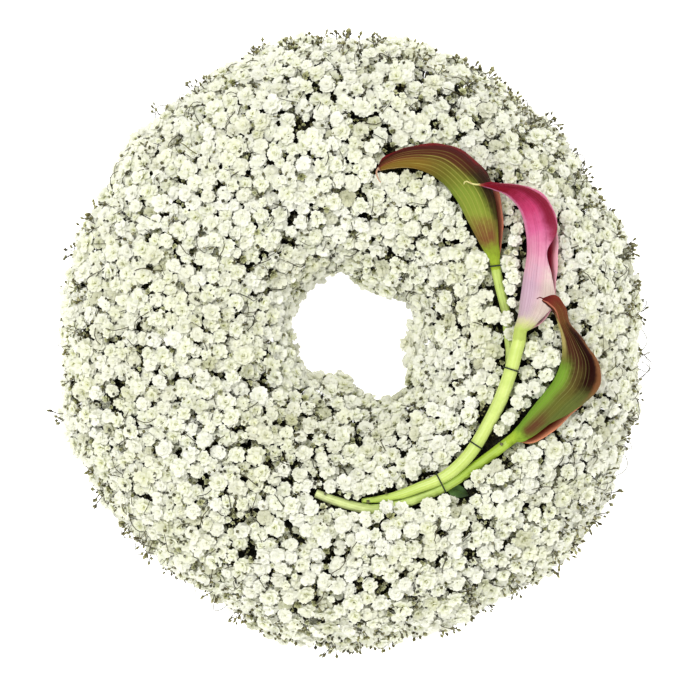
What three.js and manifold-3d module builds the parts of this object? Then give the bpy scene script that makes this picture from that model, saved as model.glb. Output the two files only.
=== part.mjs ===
// A flower wreath that lies flat: sprays of baby's breath pushed into a ring of floral foam in a
// shallow tray, with three calla lilies laid over them and pinned down with thin wire.
// Millimetres, +Z up. The ring's centre is the origin and the tray rests on z = 0.

import * as THREE from 'three';
import { mergeVertices } from 'three/addons/utils/BufferGeometryUtils.js';
import Module from 'manifold-3d';

const wasm = await Module();
wasm.setup();

// Foam ring and tray
const FOAM_OUTER = 125;
const FOAM_INNER = 70;
const FOAM_BASE = 2.4;
const FOAM_TOP = 42;
const FOAM_CHAMFER = 8;
const TRAY_HEIGHT = 16;
const TRAY_FLOOR = 2;
const TRAY_WALL = 1.6;
const TRAY_PLAY = 0.8;
const FOAM_MIDDLE = (FOAM_OUTER + FOAM_INNER) / 2;

// The mass of flowers: a ring whose section is an ellipse, its centre at MASS_MIDDLE
const FLOWER_REACH = 162;
const HOLE_REACH = 37;
const MASS_MIDDLE = 30;
const MASS_RISE = 48;
const CORE_SINK = 8;
const GAP = 0.5;
const GRID = 15;

// Heads and sprigs of the baby's breath, larger than life
const HEAD_COUNT = 236;
const HEAD_LARGEST = 12.6;
const HEAD_USUAL = 10.4;
const HEAD_SMALLEST = 5.5;
const HEAD_LIFT = 2.2;
const HEAD_LAP = 0.78;
const HEAD_TRIES = 40;
const ROOT_DEPTH = 4.5;
const ROOT_INSET = 9.5;
const PEG_WIDTH = 4.2;
const PEG_PLAY = 0.3;
const SPRIG_REACH = 11;
const SPRIG_GIRTH = 0.9;
const BUD_RADIUS = 1.7;
const TIP_REACH = 169;

// Calla lilies and their wire pins
const SPATHE_THICKNESS = 0.9;
const NECK_SHARE = 0.04;
const NECK_RADII = [1.5, 1.7];
const WIRE_RADIUS = 0.6;
const WIRE_PLAY = 0.45;
const WIRE_FOOT = 35;

// Seeds of the two random draws
const HEAD_SEED = 7;
const SPRIG_SEED = 733;

const COLOURS = {
  foam: 0x3d5a2c, tray: 0x1e3a26, spray: 0xf2f0de, stem: 0xb7d556, leaf: 0x2f4a22, wire: 0x1f2a20,
  olive: 0x6f6a33, pink: 0xcf5c98, burgundy: 0x5a2230, spadix: 0xe2b93c,
};

const radians = THREE.MathUtils.degToRad;

function material(color, roughness, metalness = 0) {
  return new THREE.MeshStandardMaterial({ color, roughness, metalness });
}

function seeded(seed) {
  let state = seed;
  return () => {
    state = (state * 1664525 + 1013904223) % 4294967296;
    return state / 4294967296;
  };
}

function polar(radius, angle, height) {
  return new THREE.Vector3(radius * Math.cos(angle), radius * Math.sin(angle), height);
}

// Geometry and solids

function toSolid(geometry) {
  const bare = new THREE.BufferGeometry();
  bare.setAttribute('position', geometry.getAttribute('position'));
  bare.setIndex(geometry.index);
  const welded = mergeVertices(bare, 1e-3);
  return new wasm.Manifold(new wasm.Mesh({
    numProp: 3,
    vertProperties: Float32Array.from(welded.getAttribute('position').array),
    triVerts: Uint32Array.from(welded.index.array),
  }));
}

function toGeometry(solid) {
  const mesh = solid.getMesh();
  const geometry = new THREE.BufferGeometry();
  geometry.setAttribute('position', new THREE.BufferAttribute(mesh.vertProperties, 3));
  geometry.setIndex(new THREE.BufferAttribute(mesh.triVerts, 1));
  geometry.computeVertexNormals();
  return geometry;
}

function indexed(points, triangles) {
  const geometry = new THREE.BufferGeometry().setFromPoints(points);
  geometry.setIndex(triangles);
  geometry.computeVertexNormals();
  return geometry;
}

// A closed body through equal rings of points, with flat ends cut by an outline, or joined end to end.
// The closing side is split the other way, so that the facing sides of two neighbours match.
function loft(rings, outline = null) {
  const size = rings[0].length;
  const spans = outline ? rings.length - 1 : rings.length;
  const triangles = [];
  for (let r = 0; r < spans; r++) {
    const here = r * size;
    const next = ((r + 1) % rings.length) * size;
    for (let i = 0; i < size; i++) {
      const j = (i + 1) % size;
      if (j > 0) triangles.push(here + i, here + j, next + j, here + i, next + j, next + i);
      else triangles.push(here + i, here + j, next + i, here + j, next + j, next + i);
    }
  }
  if (outline) {
    const last = (rings.length - 1) * size;
    for (const [a, b, c] of THREE.ShapeUtils.triangulateShape(outline, [])) {
      triangles.push(a, c, b, last + a, last + b, last + c);
    }
  }
  return indexed(rings.flat(), triangles);
}

// Turned ring: a section of [radius, height] points, listed anticlockwise, swept round the axis
function turned(section, sides) {
  const rings = [];
  for (let k = 0; k < sides; k++) {
    const angle = -2 * Math.PI * k / sides;
    rings.push(section.map(([radius, height]) => polar(radius, angle, height)));
  }
  return loft(rings);
}

function disc(sides, radius) {
  const points = [];
  for (let i = 0; i < sides; i++) {
    const angle = 2 * Math.PI * i / sides;
    points.push(new THREE.Vector2(radius * Math.cos(angle), radius * Math.sin(angle)));
  }
  return points;
}

// A round bar of changing thickness along a curve
function taperedBar(curve, radiusAt, sides, steps) {
  const frames = curve.computeFrenetFrames(steps, false);
  const rings = [];
  for (let s = 0; s <= steps; s++) {
    const centre = curve.getPointAt(s / steps);
    rings.push(disc(sides, radiusAt(s / steps)).map((p) => centre.clone()
      .addScaledVector(frames.normals[s], p.x)
      .addScaledVector(frames.binormals[s], p.y)));
  }
  return loft(rings, disc(sides, 1));
}

// Surface of the flower mass

function outerRadius(angle) {
  return FLOWER_REACH + 2 * Math.cos(2 * (angle + radians(80))) + 1.8 * Math.cos(3 * (angle + radians(13)));
}

function holeRadius(angle) {
  return HOLE_REACH + 2.2 * Math.cos(angle - radians(69)) + 2.4 * Math.cos(2 * angle + radians(86))
    + 1.4 * Math.cos(4 * angle - radians(127));
}

// The section at an angle round the ring, sunk by some depth under the flower heads
function sectionAt(angle, sink) {
  const outer = outerRadius(angle);
  const hole = holeRadius(angle);
  return { middle: (outer + hole) / 2, half: (outer - hole) / 2 - sink, rise: MASS_RISE - sink };
}

function sectionPoint(angle, turn, sink) {
  const { middle, half, rise } = sectionAt(angle, sink);
  return [middle + half * Math.cos(turn), MASS_MIDDLE + rise * Math.sin(turn)];
}

function surfacePoint(angle, turn, sink) {
  const [radius, height] = sectionPoint(angle, turn, sink);
  return polar(radius, angle, height);
}

function surfaceNormal(angle, turn) {
  const { half, rise } = sectionAt(angle, 0);
  return polar(Math.cos(turn) / half, angle, Math.sin(turn) / rise).normalize();
}

// Height of the core under a point seen from above
function coreTop(x, y) {
  const { middle, half, rise } = sectionAt(Math.atan2(y, x), CORE_SINK);
  const across = (Math.hypot(x, y) - middle) / half;
  return MASS_MIDDLE + rise * Math.sqrt(Math.max(0, 1 - across * across));
}

// Rows of sprays. Each row covers part of the section, from turn to turn in degrees, and its back is
// a line of [radius, height] points that keeps clear of the foam and the tray.
const edge = FOAM_CHAMFER / 2;
const shoulder = FOAM_TOP - edge + 0.35;
const ROWS = [
  {
    name: 'spray_hole', count: 8, turns: [142, 214], phase: 0,
    back: [[66.3, 6], [66.3, 17.6], [FOAM_INNER - 0.6, FOAM_TOP - FOAM_CHAMFER + 0.3],
      [FOAM_INNER + edge - 0.55, shoulder - 0.2]],
    peg: { from: [64, 22], to: [86, 22] },
  },
  {
    name: 'spray_inner_crown', count: 8, turns: [90, 142], phase: 15,
    back: [[FOAM_INNER + edge - 0.15, shoulder + 0.2], [FOAM_INNER + FOAM_CHAMFER, FOAM_TOP + 0.5],
      [FOAM_MIDDLE - 0.25, FOAM_TOP + 0.5]],
    peg: { from: [86, 45], to: [86, 27] },
  },
  {
    name: 'spray_outer_crown', count: 12, turns: [38, 90], phase: 0,
    back: [[FOAM_MIDDLE + 0.25, FOAM_TOP + 0.5], [FOAM_OUTER - FOAM_CHAMFER, FOAM_TOP + 0.5],
      [FOAM_OUTER - edge + 0.15, shoulder + 0.2]],
    peg: { from: [109, 45], to: [109, 27] },
  },
  {
    name: 'spray_rim', count: 12, turns: [-34, 38], phase: 15,
    back: [[FOAM_OUTER - edge + 0.55, shoulder - 0.2], [FOAM_OUTER + 0.6, FOAM_TOP - FOAM_CHAMFER + 0.3],
      [129.4, 17.6], [129.4, 6]],
    peg: { from: [131, 22], to: [108, 22] },
  },
];

// Every spray of the wreath: its row and the angles that it covers
const sprays = ROWS.flatMap((row) => {
  const span = 360 / row.count;
  return Array.from({ length: row.count }, (_, i) => ({
    name: `${row.name}_${String(i + 1).padStart(2, '0')}`,
    row,
    start: row.phase + i * span,
    end: row.phase + (i + 1) * span,
  }));
});

function sprayAt(angle, turn) {
  return sprays.find(({ row, start, end }) => {
    const ahead = THREE.MathUtils.euclideanModulo(angle - start, 360);
    return turn >= row.turns[0] && turn < row.turns[1] && ahead < end - start;
  });
}

// The dense heart of a spray: a block of the ring between the foam and the flower heads
function sprayCore({ row, start, end }) {
  const trim = THREE.MathUtils.radToDeg(GAP / 2 / MASS_RISE);
  const [low, high] = [row.turns[0] + trim, row.turns[1] - trim];
  const arcSteps = Math.round((high - low) / 25);
  const rings = [];
  let cap = null;
  for (let angle = start; angle <= end; angle += GRID) {
    const outline = [];
    for (let i = 0; i <= arcSteps; i++) {
      const turn = THREE.MathUtils.lerp(low, high, i / arcSteps);
      outline.push(sectionPoint(radians(angle), radians(turn), CORE_SINK));
    }
    outline.push(...row.back);
    const side = angle === start ? 1 : angle === end ? -1 : 0;
    rings.push(outline.map(([radius, height]) =>
      polar(radius, radians(angle) + side * Math.asin(GAP / 2 / radius), height)));
    cap = cap || outline.map(([radius, height]) => new THREE.Vector2(radius, height));
  }
  return loft(rings.reverse(), cap);
}

// A four-sided bar with a pointed foot, from a [radius, height] point to another
function pegBar(angle, from, to, width) {
  const top = polar(from[0], angle, from[1]);
  const foot = polar(to[0], angle, to[1]);
  const along = foot.clone().sub(top).normalize();
  const side = new THREE.Vector3(-Math.sin(angle), Math.cos(angle), 0);
  const up = along.clone().cross(side);
  const corners = (centre) => disc(4, width / Math.SQRT2).map((p) => centre.clone()
    .addScaledVector(side, (p.x + p.y) / Math.SQRT2)
    .addScaledVector(up, (p.y - p.x) / Math.SQRT2));
  const neck = foot.clone().addScaledVector(along, -width);
  const points = [...corners(top), ...corners(neck), foot];
  const triangles = [0, 2, 1, 0, 3, 2];
  for (let i = 0; i < 4; i++) {
    const j = (i + 1) % 4;
    triangles.push(i, j, 4 + j, i, 4 + j, 4 + i, 4 + i, 4 + j, 8);
  }
  return indexed(points, triangles);
}

function sprayPeg({ row, start, end }, play) {
  const { from, to } = row.peg;
  const length = Math.hypot(to[0] - from[0], to[1] - from[1]);
  const deeper = [0, 1].map((k) => to[k] + (to[k] - from[k]) * 2 * play / length);
  return toSolid(pegBar(radians((start + end) / 2), from, deeper, PEG_WIDTH + 2 * play));
}

// A flower head: a low star of petals that tapers down to a root inside the spray's core
function flowerHead({ centre, normal, root, radius, spin }, petals) {
  const side = new THREE.Vector3(0, 0, 1).cross(normal);
  if (side.length() < 0.1) side.set(1, 0, 0);
  side.normalize();
  const front = normal.clone().cross(side).normalize();
  side.copy(front).cross(normal);
  const around = (angle, reach, lift) => centre.clone()
    .addScaledVector(side, reach * Math.cos(angle))
    .addScaledVector(front, reach * Math.sin(angle))
    .addScaledVector(normal, lift);
  const points = [around(0, 0, 0.34 * radius), root];
  const triangles = [];
  for (let i = 0; i < petals; i++) {
    const angle = spin + 2 * Math.PI * i / petals;
    points.push(around(angle, 0.85 * radius, 0.02 * radius));
    points.push(around(angle + Math.PI / petals, 0.99 * radius, 0.1 * radius));
    const [valley, tip, next] = [2 + 2 * i, 3 + 2 * i, 2 + (2 * i + 2) % (2 * petals)];
    triangles.push(0, valley, tip, 0, tip, next, valley, next, tip, valley, 1, next);
  }
  return toSolid(indexed(points, triangles));
}

// A fine sprig: a thin three-sided stalk with a closed bud at its end
function sprig(root, tip, girth, budRadius) {
  const along = tip.clone().sub(root).normalize();
  const side = new THREE.Vector3(0, 0, 1).cross(along).normalize();
  const up = along.clone().cross(side);
  const ring = (centre, sides, radius) => disc(sides, radius).map((p) => centre.clone()
    .addScaledVector(side, p.x).addScaledVector(up, p.y));
  const base = tip.clone().addScaledVector(along, -1.6 * budRadius);
  const middle = tip.clone().addScaledVector(along, -0.8 * budRadius);
  const stalk = loft([ring(root, 3, girth), ring(middle, 3, 0.55 * girth)], disc(3, 1));
  const bud = indexed([base, ...ring(middle, 4, 0.62 * budRadius), tip],
    [1, 2, 3, 4].flatMap((i) => [0, i % 4 + 1, i, 5, i, i % 4 + 1]));
  return toSolid(stalk).add(toSolid(bud));
}

// Calla lilies. Stem stations are [x, y, clearance over the core, radius].
// Spathe stations run from the neck to the tip and give the left and right side of the outline seen
// from above, the height of its middle, half its depth, and where the two edges of the rolled sheet
// lie round the section, in degrees from the right side over the top.
const CALLAS = [
  {
    colour: COLOURS.olive, spadixTo: 0.42,
    stem: [
      [78.4, 40, 3, 2.7], [80.3, 31.4, 1.6, 2.7], [83.6, 17.6, 0.8, 2.7],
      [85.4, 4, 0.6, 2.7], [86.4, -8, 0.6, 2.7], [85.2, -21, 0.6, 2.4],
    ],
    spathe: [
      { left: [74.9, 44.4], right: [80.6, 45.4], height: 76.6, depth: 2.9, edges: [8, 352] },
      { left: [69.6, 53.6], right: [81.6, 54.4], height: 77.5, depth: 5, edges: [14, 350] },
      { left: [63, 66], right: [82.4, 66.5], height: 79.5, depth: 7, edges: [20, 348] },
      { left: [56.1, 78.7], right: [79.8, 82], height: 81, depth: 8, edges: [22, 340] },
      { left: [49.6, 86.6], right: [72, 94], height: 81.5, depth: 8, edges: [18, 318] },
      { left: [41.6, 92.2], right: [57, 107], height: 81, depth: 7, edges: [12, 280] },
      { left: [33, 95.2], right: [41.5, 108.5], height: 80, depth: 5, edges: [8, 240] },
      { left: [23, 95.2], right: [26, 107], height: 78.5, depth: 3.4, edges: [8, 205] },
      { left: [15.4, 93.2], right: [15.4, 99], height: 77, depth: 1.6, edges: [12, 180] },
      { left: [12.6, 92.2], right: [12.2, 94], height: 76, depth: 0.6, edges: [20, 160] },
    ],
  },
  {
    colour: COLOURS.pink, spadixTo: 0.45,
    stem: [
      [91.2, 1.5, 6.6, 3.7], [89.3, -5.4, 7, 3.8], [86.6, -15.4, 7, 3.8],
      [80.7, -32, 3.4, 3.8], [73.9, -45.4, 2.6, 3.7], [65, -60, 4, 3.6], [55.7, -69.8, 5.6, 3.4],
      [47.6, -75.2, 5.6, 3.2], [36.8, -79.6, 5.2, 2.9], [25.9, -83.6, 4.2, 2.5], [16, -86, 2.6, 2],
      [5, -87.2, 0.8, 1.4],
    ],
    spathe: [
      { left: [88.2, 7.2], right: [95.6, 5.8], height: 80.6, depth: 3.7, edges: [8, 352] },
      { left: [90.4, 14], right: [103, 11.4], height: 79.6, depth: 5, edges: [14, 348] },
      { left: [91.8, 24.6], right: [109.8, 21], height: 79, depth: 6, edges: [18, 346] },
      { left: [93.6, 37], right: [111.6, 36], height: 79.6, depth: 6.6, edges: [22, 346] },
      { left: [95.4, 50], right: [112, 49], height: 80.4, depth: 6.6, edges: [26, 340] },
      { left: [94.4, 62], right: [112.6, 63], height: 81.4, depth: 6.6, edges: [20, 322] },
      { left: [91.2, 72.5], right: [108, 76.2], height: 83, depth: 6, edges: [12, 285] },
      { left: [85, 79.6], right: [97, 84.6], height: 86, depth: 4.6, edges: [8, 240] },
      { left: [77.4, 83.2], right: [82, 87], height: 89.6, depth: 2.8, edges: [8, 205] },
      { left: [69.4, 84.6], right: [70.4, 87.2], height: 91.8, depth: 1.2, edges: [12, 180] },
      { left: [62.4, 86], right: [62.4, 87.6], height: 92.4, depth: 0.6, edges: [20, 160] },
    ],
  },
  {
    colour: COLOURS.burgundy, spadixTo: 0.4,
    stem: [
      [84.6, -55.4, 2.8, 2.8], [79, -59.8, 1.8, 2.9], [70, -66.4, 0.8, 2.9],
      [59.1, -74, 1.6, 2.9], [48, -80.7, 1.6, 2.9], [36.9, -85.2, 0.8, 2.8], [25.9, -89, 0.6, 2.8],
      [11, -91.9, 0.6, 2.8], [-0.6, -89.9, 0.6, 2.7], [-12.1, -86.4, 0.6, 2.6], [-20.4, -83.1, 0.6, 2.4],
    ],
    spathe: [
      { left: [87, -49.8], right: [90, -55], height: 75.4, depth: 2.9, edges: [8, 352] },
      { left: [91.4, -44.8], right: [98.6, -55.6], height: 75.8, depth: 5, edges: [14, 350] },
      { left: [97.4, -37], right: [110.4, -48.6], height: 76.4, depth: 7, edges: [18, 348] },
      { left: [103.8, -29], right: [122.6, -37.4], height: 76.6, depth: 8, edges: [16, 336] },
      { left: [110.2, -20.4], right: [133.4, -27.4], height: 77, depth: 8, edges: [12, 318] },
      { left: [114.2, -10], right: [135.2, -13.6], height: 79, depth: 7, edges: [10, 295] },
      { left: [114.4, 0.6], right: [127.6, -0.8], height: 82, depth: 5.6, edges: [8, 265] },
      { left: [112, 11], right: [119, 9.8], height: 86, depth: 4, edges: [8, 235] },
      { left: [109.2, 17.4], right: [116, 19.6], height: 89, depth: 2.6, edges: [8, 205] },
      { left: [105.8, 20.6], right: [109.4, 25.6], height: 90.4, depth: 1.4, edges: [12, 180] },
      { left: [103.4, 22.6], right: [104.2, 24.2], height: 90.6, depth: 0.6, edges: [20, 160] },
    ],
  },
];

// The lines that a spathe is lofted along: its two sides and, as depth and edges, its roll
function spatheLines(calla) {
  const along = (pick) => new THREE.CatmullRomCurve3(calla.spathe.map(pick));
  return {
    left: along(({ left: [x, y], height }) => new THREE.Vector3(x, y, height)),
    right: along(({ right: [x, y], height }) => new THREE.Vector3(x, y, height)),
    roll: along(({ depth, edges: [a, b] }) => new THREE.Vector3(depth, a, b)),
  };
}

function spatheMiddle(calla, share) {
  const { left, right } = spatheLines(calla);
  return left.getPoint(share).lerp(right.getPoint(share), 0.5);
}

// The sheet of a spathe as a function of two shares: along it, neck to tip, and across it, edge to edge
function spatheSheet(calla) {
  const { left, right, roll } = spatheLines(calla);
  const outside = (v, u) => {
    const middle = left.getPoint(v).lerp(right.getPoint(v), 0.5);
    const width = right.getPoint(v).sub(middle);
    const { x: depth, y: from, z: to } = roll.getPoint(v);
    const angle = radians(THREE.MathUtils.lerp(from, to, u));
    const rise = new THREE.Vector3(0, 0, depth * Math.sin(angle));
    return middle.addScaledVector(width, Math.cos(angle)).add(rise);
  };
  const step = 1e-3;
  return (v, u, inset) => {
    const [v0, v1] = [Math.max(0, v - step), Math.min(1, v + step)];
    const [u0, u1] = [Math.max(0, u - step), Math.min(1, u + step)];
    const lengthwise = outside(v1, u).sub(outside(v0, u));
    const crosswise = outside(v, u1).sub(outside(v, u0));
    return outside(v, u).addScaledVector(crosswise.cross(lengthwise).normalize(), -inset);
  };
}

// A stem narrows into the neck of its spathe, where it ends inside the rolled sheet
function stemLine(calla) {
  const points = calla.stem.map(([x, y, lift, radius]) =>
    new THREE.Vector3(x, y, coreTop(x, y) + lift + radius));
  points.unshift(spatheMiddle(calla, NECK_SHARE), spatheMiddle(calla, 0));
  return new THREE.CatmullRomCurve3(points, false, 'centripetal');
}

function stemRadius(calla, curve, share) {
  const radii = [...NECK_RADII, ...calla.stem.map((station) => station[3])];
  const at = curve.getUtoTmapping(share) * (radii.length - 1);
  const index = Math.min(Math.floor(at), radii.length - 2);
  return THREE.MathUtils.lerp(radii[index], radii[index + 1], at - index);
}

function stemBar(calla) {
  const curve = stemLine(calla);
  return taperedBar(curve, (share) => stemRadius(calla, curve, share), 6, 2 * calla.stem.length);
}

// A thin closed sheet, its two faces split into the same triangles
function sheetSolid(sheet, alongSteps, acrossSteps, thickness) {
  const points = [];
  const triangles = [];
  const row = acrossSteps + 1;
  const layer = row * (alongSteps + 1);
  for (const inset of [0, thickness]) {
    for (let i = 0; i <= alongSteps; i++) {
      for (let j = 0; j <= acrossSteps; j++) points.push(sheet(i / alongSteps, j / acrossSteps, inset));
    }
  }
  const quad = (a, b, c, d) => triangles.push(a, b, c, a, c, d);
  for (let i = 0; i < alongSteps; i++) {
    for (let j = 0; j < acrossSteps; j++) {
      const a = i * row + j;
      const b = layer + a;
      triangles.push(a, a + 1, a + row + 1, a, a + row + 1, a + row);
      triangles.push(b, b + row + 1, b + 1, b, b + row, b + row + 1);
    }
    const [first, last] = [i * row, i * row + acrossSteps];
    quad(first, first + row, layer + first + row, layer + first);
    quad(last + row, last, layer + last, layer + last + row);
  }
  for (let j = 0; j < acrossSteps; j++) {
    const end = alongSteps * row + j;
    quad(j + 1, j, layer + j, layer + j + 1);
    quad(end, end + 1, layer + end + 1, layer + end);
  }
  return indexed(points, triangles);
}

// The spadix stands on the stem's end and follows the middle of the rolled spathe
function spadixBar(calla) {
  const points = [0, 0.15, 0.4, 0.7, 1].map((share) =>
    spatheMiddle(calla, THREE.MathUtils.lerp(NECK_SHARE + 0.004, calla.spadixTo, share)));
  const thickness = (share) => (share < 0.02 ? 1.1 : share > 0.98 ? 1 : 2.2);
  return taperedBar(new THREE.CatmullRomCurve3(points), thickness, 6, 6);
}

// A wire pin: a hairpin over one or two stems, both legs down through the flowers into the foam.
// Each pin is given by the callas it holds and a place near it, [x, y].
const PINS = [
  { name: 'wire_pin_1', holds: [1], near: [86.4, -14.9] },
  { name: 'wire_pin_2', holds: [1], near: [67.5, -56.6] },
  { name: 'wire_pin_3', holds: [1, 2], near: [47.9, -76.5] },
  { name: 'wire_pin_4', holds: [0], near: [78.3, 41.8] },
];

function nearestOnStem(calla, place) {
  const curve = stemLine(calla);
  const shares = Array.from({ length: 301 }, (_, i) => i / 300);
  const distance = (share) => curve.getPointAt(share).sub(place).setZ(0).length();
  const share = shares.reduce((best, other) => (distance(other) < distance(best) ? other : best));
  return {
    point: curve.getPointAt(share),
    along: curve.getTangentAt(share).setZ(0).normalize(),
    reach: stemRadius(calla, curve, share) + WIRE_PLAY + WIRE_RADIUS,
  };
}

function pinPath({ holds, near }) {
  const first = nearestOnStem(CALLAS[holds[0]], new THREE.Vector3(near[0], near[1], 0));
  const last = nearestOnStem(CALLAS[holds[holds.length - 1]], first.point);
  const side = new THREE.Vector3(first.along.y, -first.along.x, 0);
  if (last.point.clone().sub(first.point).dot(side) < 0) side.negate();
  const apart = last.point.clone().sub(first.point).dot(side);
  const slope = Math.atan2(last.point.z - first.point.z, apart || 1);
  const at = (sideways, height) => first.point.clone().addScaledVector(side, sideways).setZ(height);
  const round = (stem, sideways, angle) =>
    at(sideways + stem.reach * Math.cos(angle), stem.point.z + stem.reach * Math.sin(angle));
  const crest = Math.PI / 2 + slope;
  const over = [];
  for (let i = 0; i <= 3; i++) over.push(round(first, 0, THREE.MathUtils.lerp(Math.PI, crest, i / 3)));
  for (let i = holds.length > 1 ? 0 : 1; i <= 3; i++) {
    over.push(round(last, apart, THREE.MathUtils.lerp(crest, 0, i / 3)));
  }
  const points = [over[0].clone().setZ(WIRE_FOOT), ...over, over[over.length - 1].clone().setZ(WIRE_FOOT)];
  return { points, normal: first.along };
}

// A wire bent in one plane: five-sided rings at the points of its path
function wirePin(pin) {
  const { points, normal } = pinPath(pin);
  const rings = points.map((point, i) => {
    const before = points[Math.max(0, i - 1)];
    const after = points[Math.min(points.length - 1, i + 1)];
    const beside = after.clone().sub(before).normalize().cross(normal);
    return disc(5, WIRE_RADIUS).map((p) => point.clone()
      .addScaledVector(normal, p.x).addScaledVector(beside, p.y));
  });
  return loft(rings, disc(5, 1));
}

// The straight channels that a pin's two legs need
function pinChannels(pin) {
  const { points } = pinPath(pin);
  return [points[0], points[points.length - 1]].map((foot) => {
    const channel = new THREE.CylinderGeometry(WIRE_RADIUS + WIRE_PLAY, WIRE_RADIUS + WIRE_PLAY, 60, 5);
    channel.rotateX(Math.PI / 2);
    channel.translate(foot.x, foot.y, foot.z - WIRE_PLAY + 30);
    return toSolid(channel);
  });
}

// A small leaf that lies on the flowers under the calla stems
const LEAF = { base: [51, -79.5], tip: [64, -84.5], halfWidth: 3.6, thickness: 0.8, rest: 0.4 };

function leafSheet(v, u, inset) {
  const [x0, y0] = LEAF.base;
  const [x1, y1] = LEAF.tip;
  const length = Math.hypot(x1 - x0, y1 - y0);
  const half = LEAF.halfWidth * (0.12 + 0.88 * Math.sin(Math.PI * v) ** 0.8);
  const across = (2 * u - 1) * half;
  const x = THREE.MathUtils.lerp(x0, x1, v) + across * (y1 - y0) / length;
  const y = THREE.MathUtils.lerp(y0, y1, v) - across * (x1 - x0) / length;
  const level = coreTop(THREE.MathUtils.lerp(x0, x1, v), THREE.MathUtils.lerp(y0, y1, v));
  return new THREE.Vector3(x, y, level + LEAF.rest + LEAF.thickness - inset);
}

// What the flower heads have to stay clear of: points with a reach of their own
function findObstacles() {
  const obstacles = [];
  const add = (point, reach) => obstacles.push({ point, reach });
  for (const calla of CALLAS) {
    const curve = stemLine(calla);
    const thickest = Math.max(...calla.stem.map((station) => station[3]));
    for (const point of curve.getSpacedPoints(90)) add(point, thickest);
    const sheet = spatheSheet(calla);
    for (let i = 0; i <= 44; i++) {
      const ring = Array.from({ length: 17 }, (_, j) => sheet(i / 44, j / 16, 0));
      const middle = ring[4].clone().add(ring[12]).multiplyScalar(0.5);
      for (const point of ring) {
        add(point, 0.6);
        add(point.clone().lerp(middle, 0.4), 0.6);
        add(point.clone().lerp(middle, 0.8), 0.6);
      }
    }
  }
  for (const pin of PINS) {
    const { points } = pinPath(pin);
    for (const point of points.slice(1, -1)) add(point, 2 * WIRE_RADIUS);
  }
  for (let i = 0; i <= 8; i++) {
    for (let j = 0; j <= 4; j++) add(leafSheet(i / 8, j / 4, 0), 0.6);
  }
  return obstacles;
}

// Flower heads are set one by one where they fit closest to those already there. They stand at two
// levels, and within a spray a head of the upper level may lap over one of the lower.
function placeHeads(obstacles) {
  const random = seeded(HEAD_SEED);
  const heads = [];
  const roomAt = (spray, centre, lift) => {
    let room = centre.z - 2;
    for (const { point, reach } of obstacles) room = Math.min(room, centre.distanceTo(point) - reach - 0.3);
    for (const head of heads) {
      const lap = spray === head.spray && lift !== head.lift ? HEAD_LAP : 1;
      room = Math.min(room, (centre.distanceTo(head.centre) - 0.4) / lap - head.radius);
    }
    return room;
  };
  for (let i = 0; i < HEAD_COUNT; i++) {
    const wanted = THREE.MathUtils.lerp(HEAD_USUAL, HEAD_LARGEST, random());
    let best = null;
    for (let k = 0; k < HEAD_TRIES; k++) {
      const angle = 360 * random();
      const turn = THREE.MathUtils.lerp(-24, 204, random());
      const lift = random() < 0.5 ? HEAD_LIFT : -HEAD_LIFT;
      if (sectionPoint(radians(angle), radians(turn), 0)[0] < 170 * random()) continue;
      const centre = surfacePoint(radians(angle), radians(turn), -lift);
      const spray = sprayAt(angle, turn);
      if (!spray) continue;
      const room = roomAt(spray, centre, lift);
      if (room < HEAD_SMALLEST) continue;
      const radius = Math.min(room, wanted);
      const score = 6 * radius - (room - radius);
      if (!best || score > best.score) best = { spray, angle, turn, lift, centre, radius, score };
    }
    if (best) heads.push({ ...best, spin: 2 * Math.PI * random(), tilt: [random() - 0.5, random() - 0.5] });
  }
  return heads;
}

// The point inside a spray's core, under a place on the surface, that a head or sprig grows from
function rootUnder(spray, angle, turn, depth) {
  const { half } = sectionAt(radians(angle), CORE_SINK);
  const [radius] = sectionPoint(radians(angle), radians(turn), CORE_SINK);
  const angleMargin = THREE.MathUtils.radToDeg(ROOT_INSET / radius);
  const turnMargin = THREE.MathUtils.radToDeg(ROOT_INSET / half);
  const [low, high] = spray.row.turns;
  const ahead = THREE.MathUtils.euclideanModulo(angle - spray.start, 360);
  const span = spray.end - spray.start;
  const kept = spray.start + THREE.MathUtils.clamp(ahead, angleMargin, span - angleMargin);
  const keptTurn = THREE.MathUtils.clamp(turn, low + turnMargin, high - turnMargin);
  return surfacePoint(radians(kept), radians(keptTurn), CORE_SINK + depth);
}

function headSolid(spray, head) {
  const normal = surfaceNormal(radians(head.angle), radians(head.turn));
  normal.add(new THREE.Vector3(0.2 * head.tilt[0], 0.2 * head.tilt[1], 0)).normalize();
  const root = rootUnder(spray, head.angle, head.turn, ROOT_DEPTH);
  return flowerHead({ ...head, normal, root }, head.radius > 9 ? 5 : 4);
}

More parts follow.
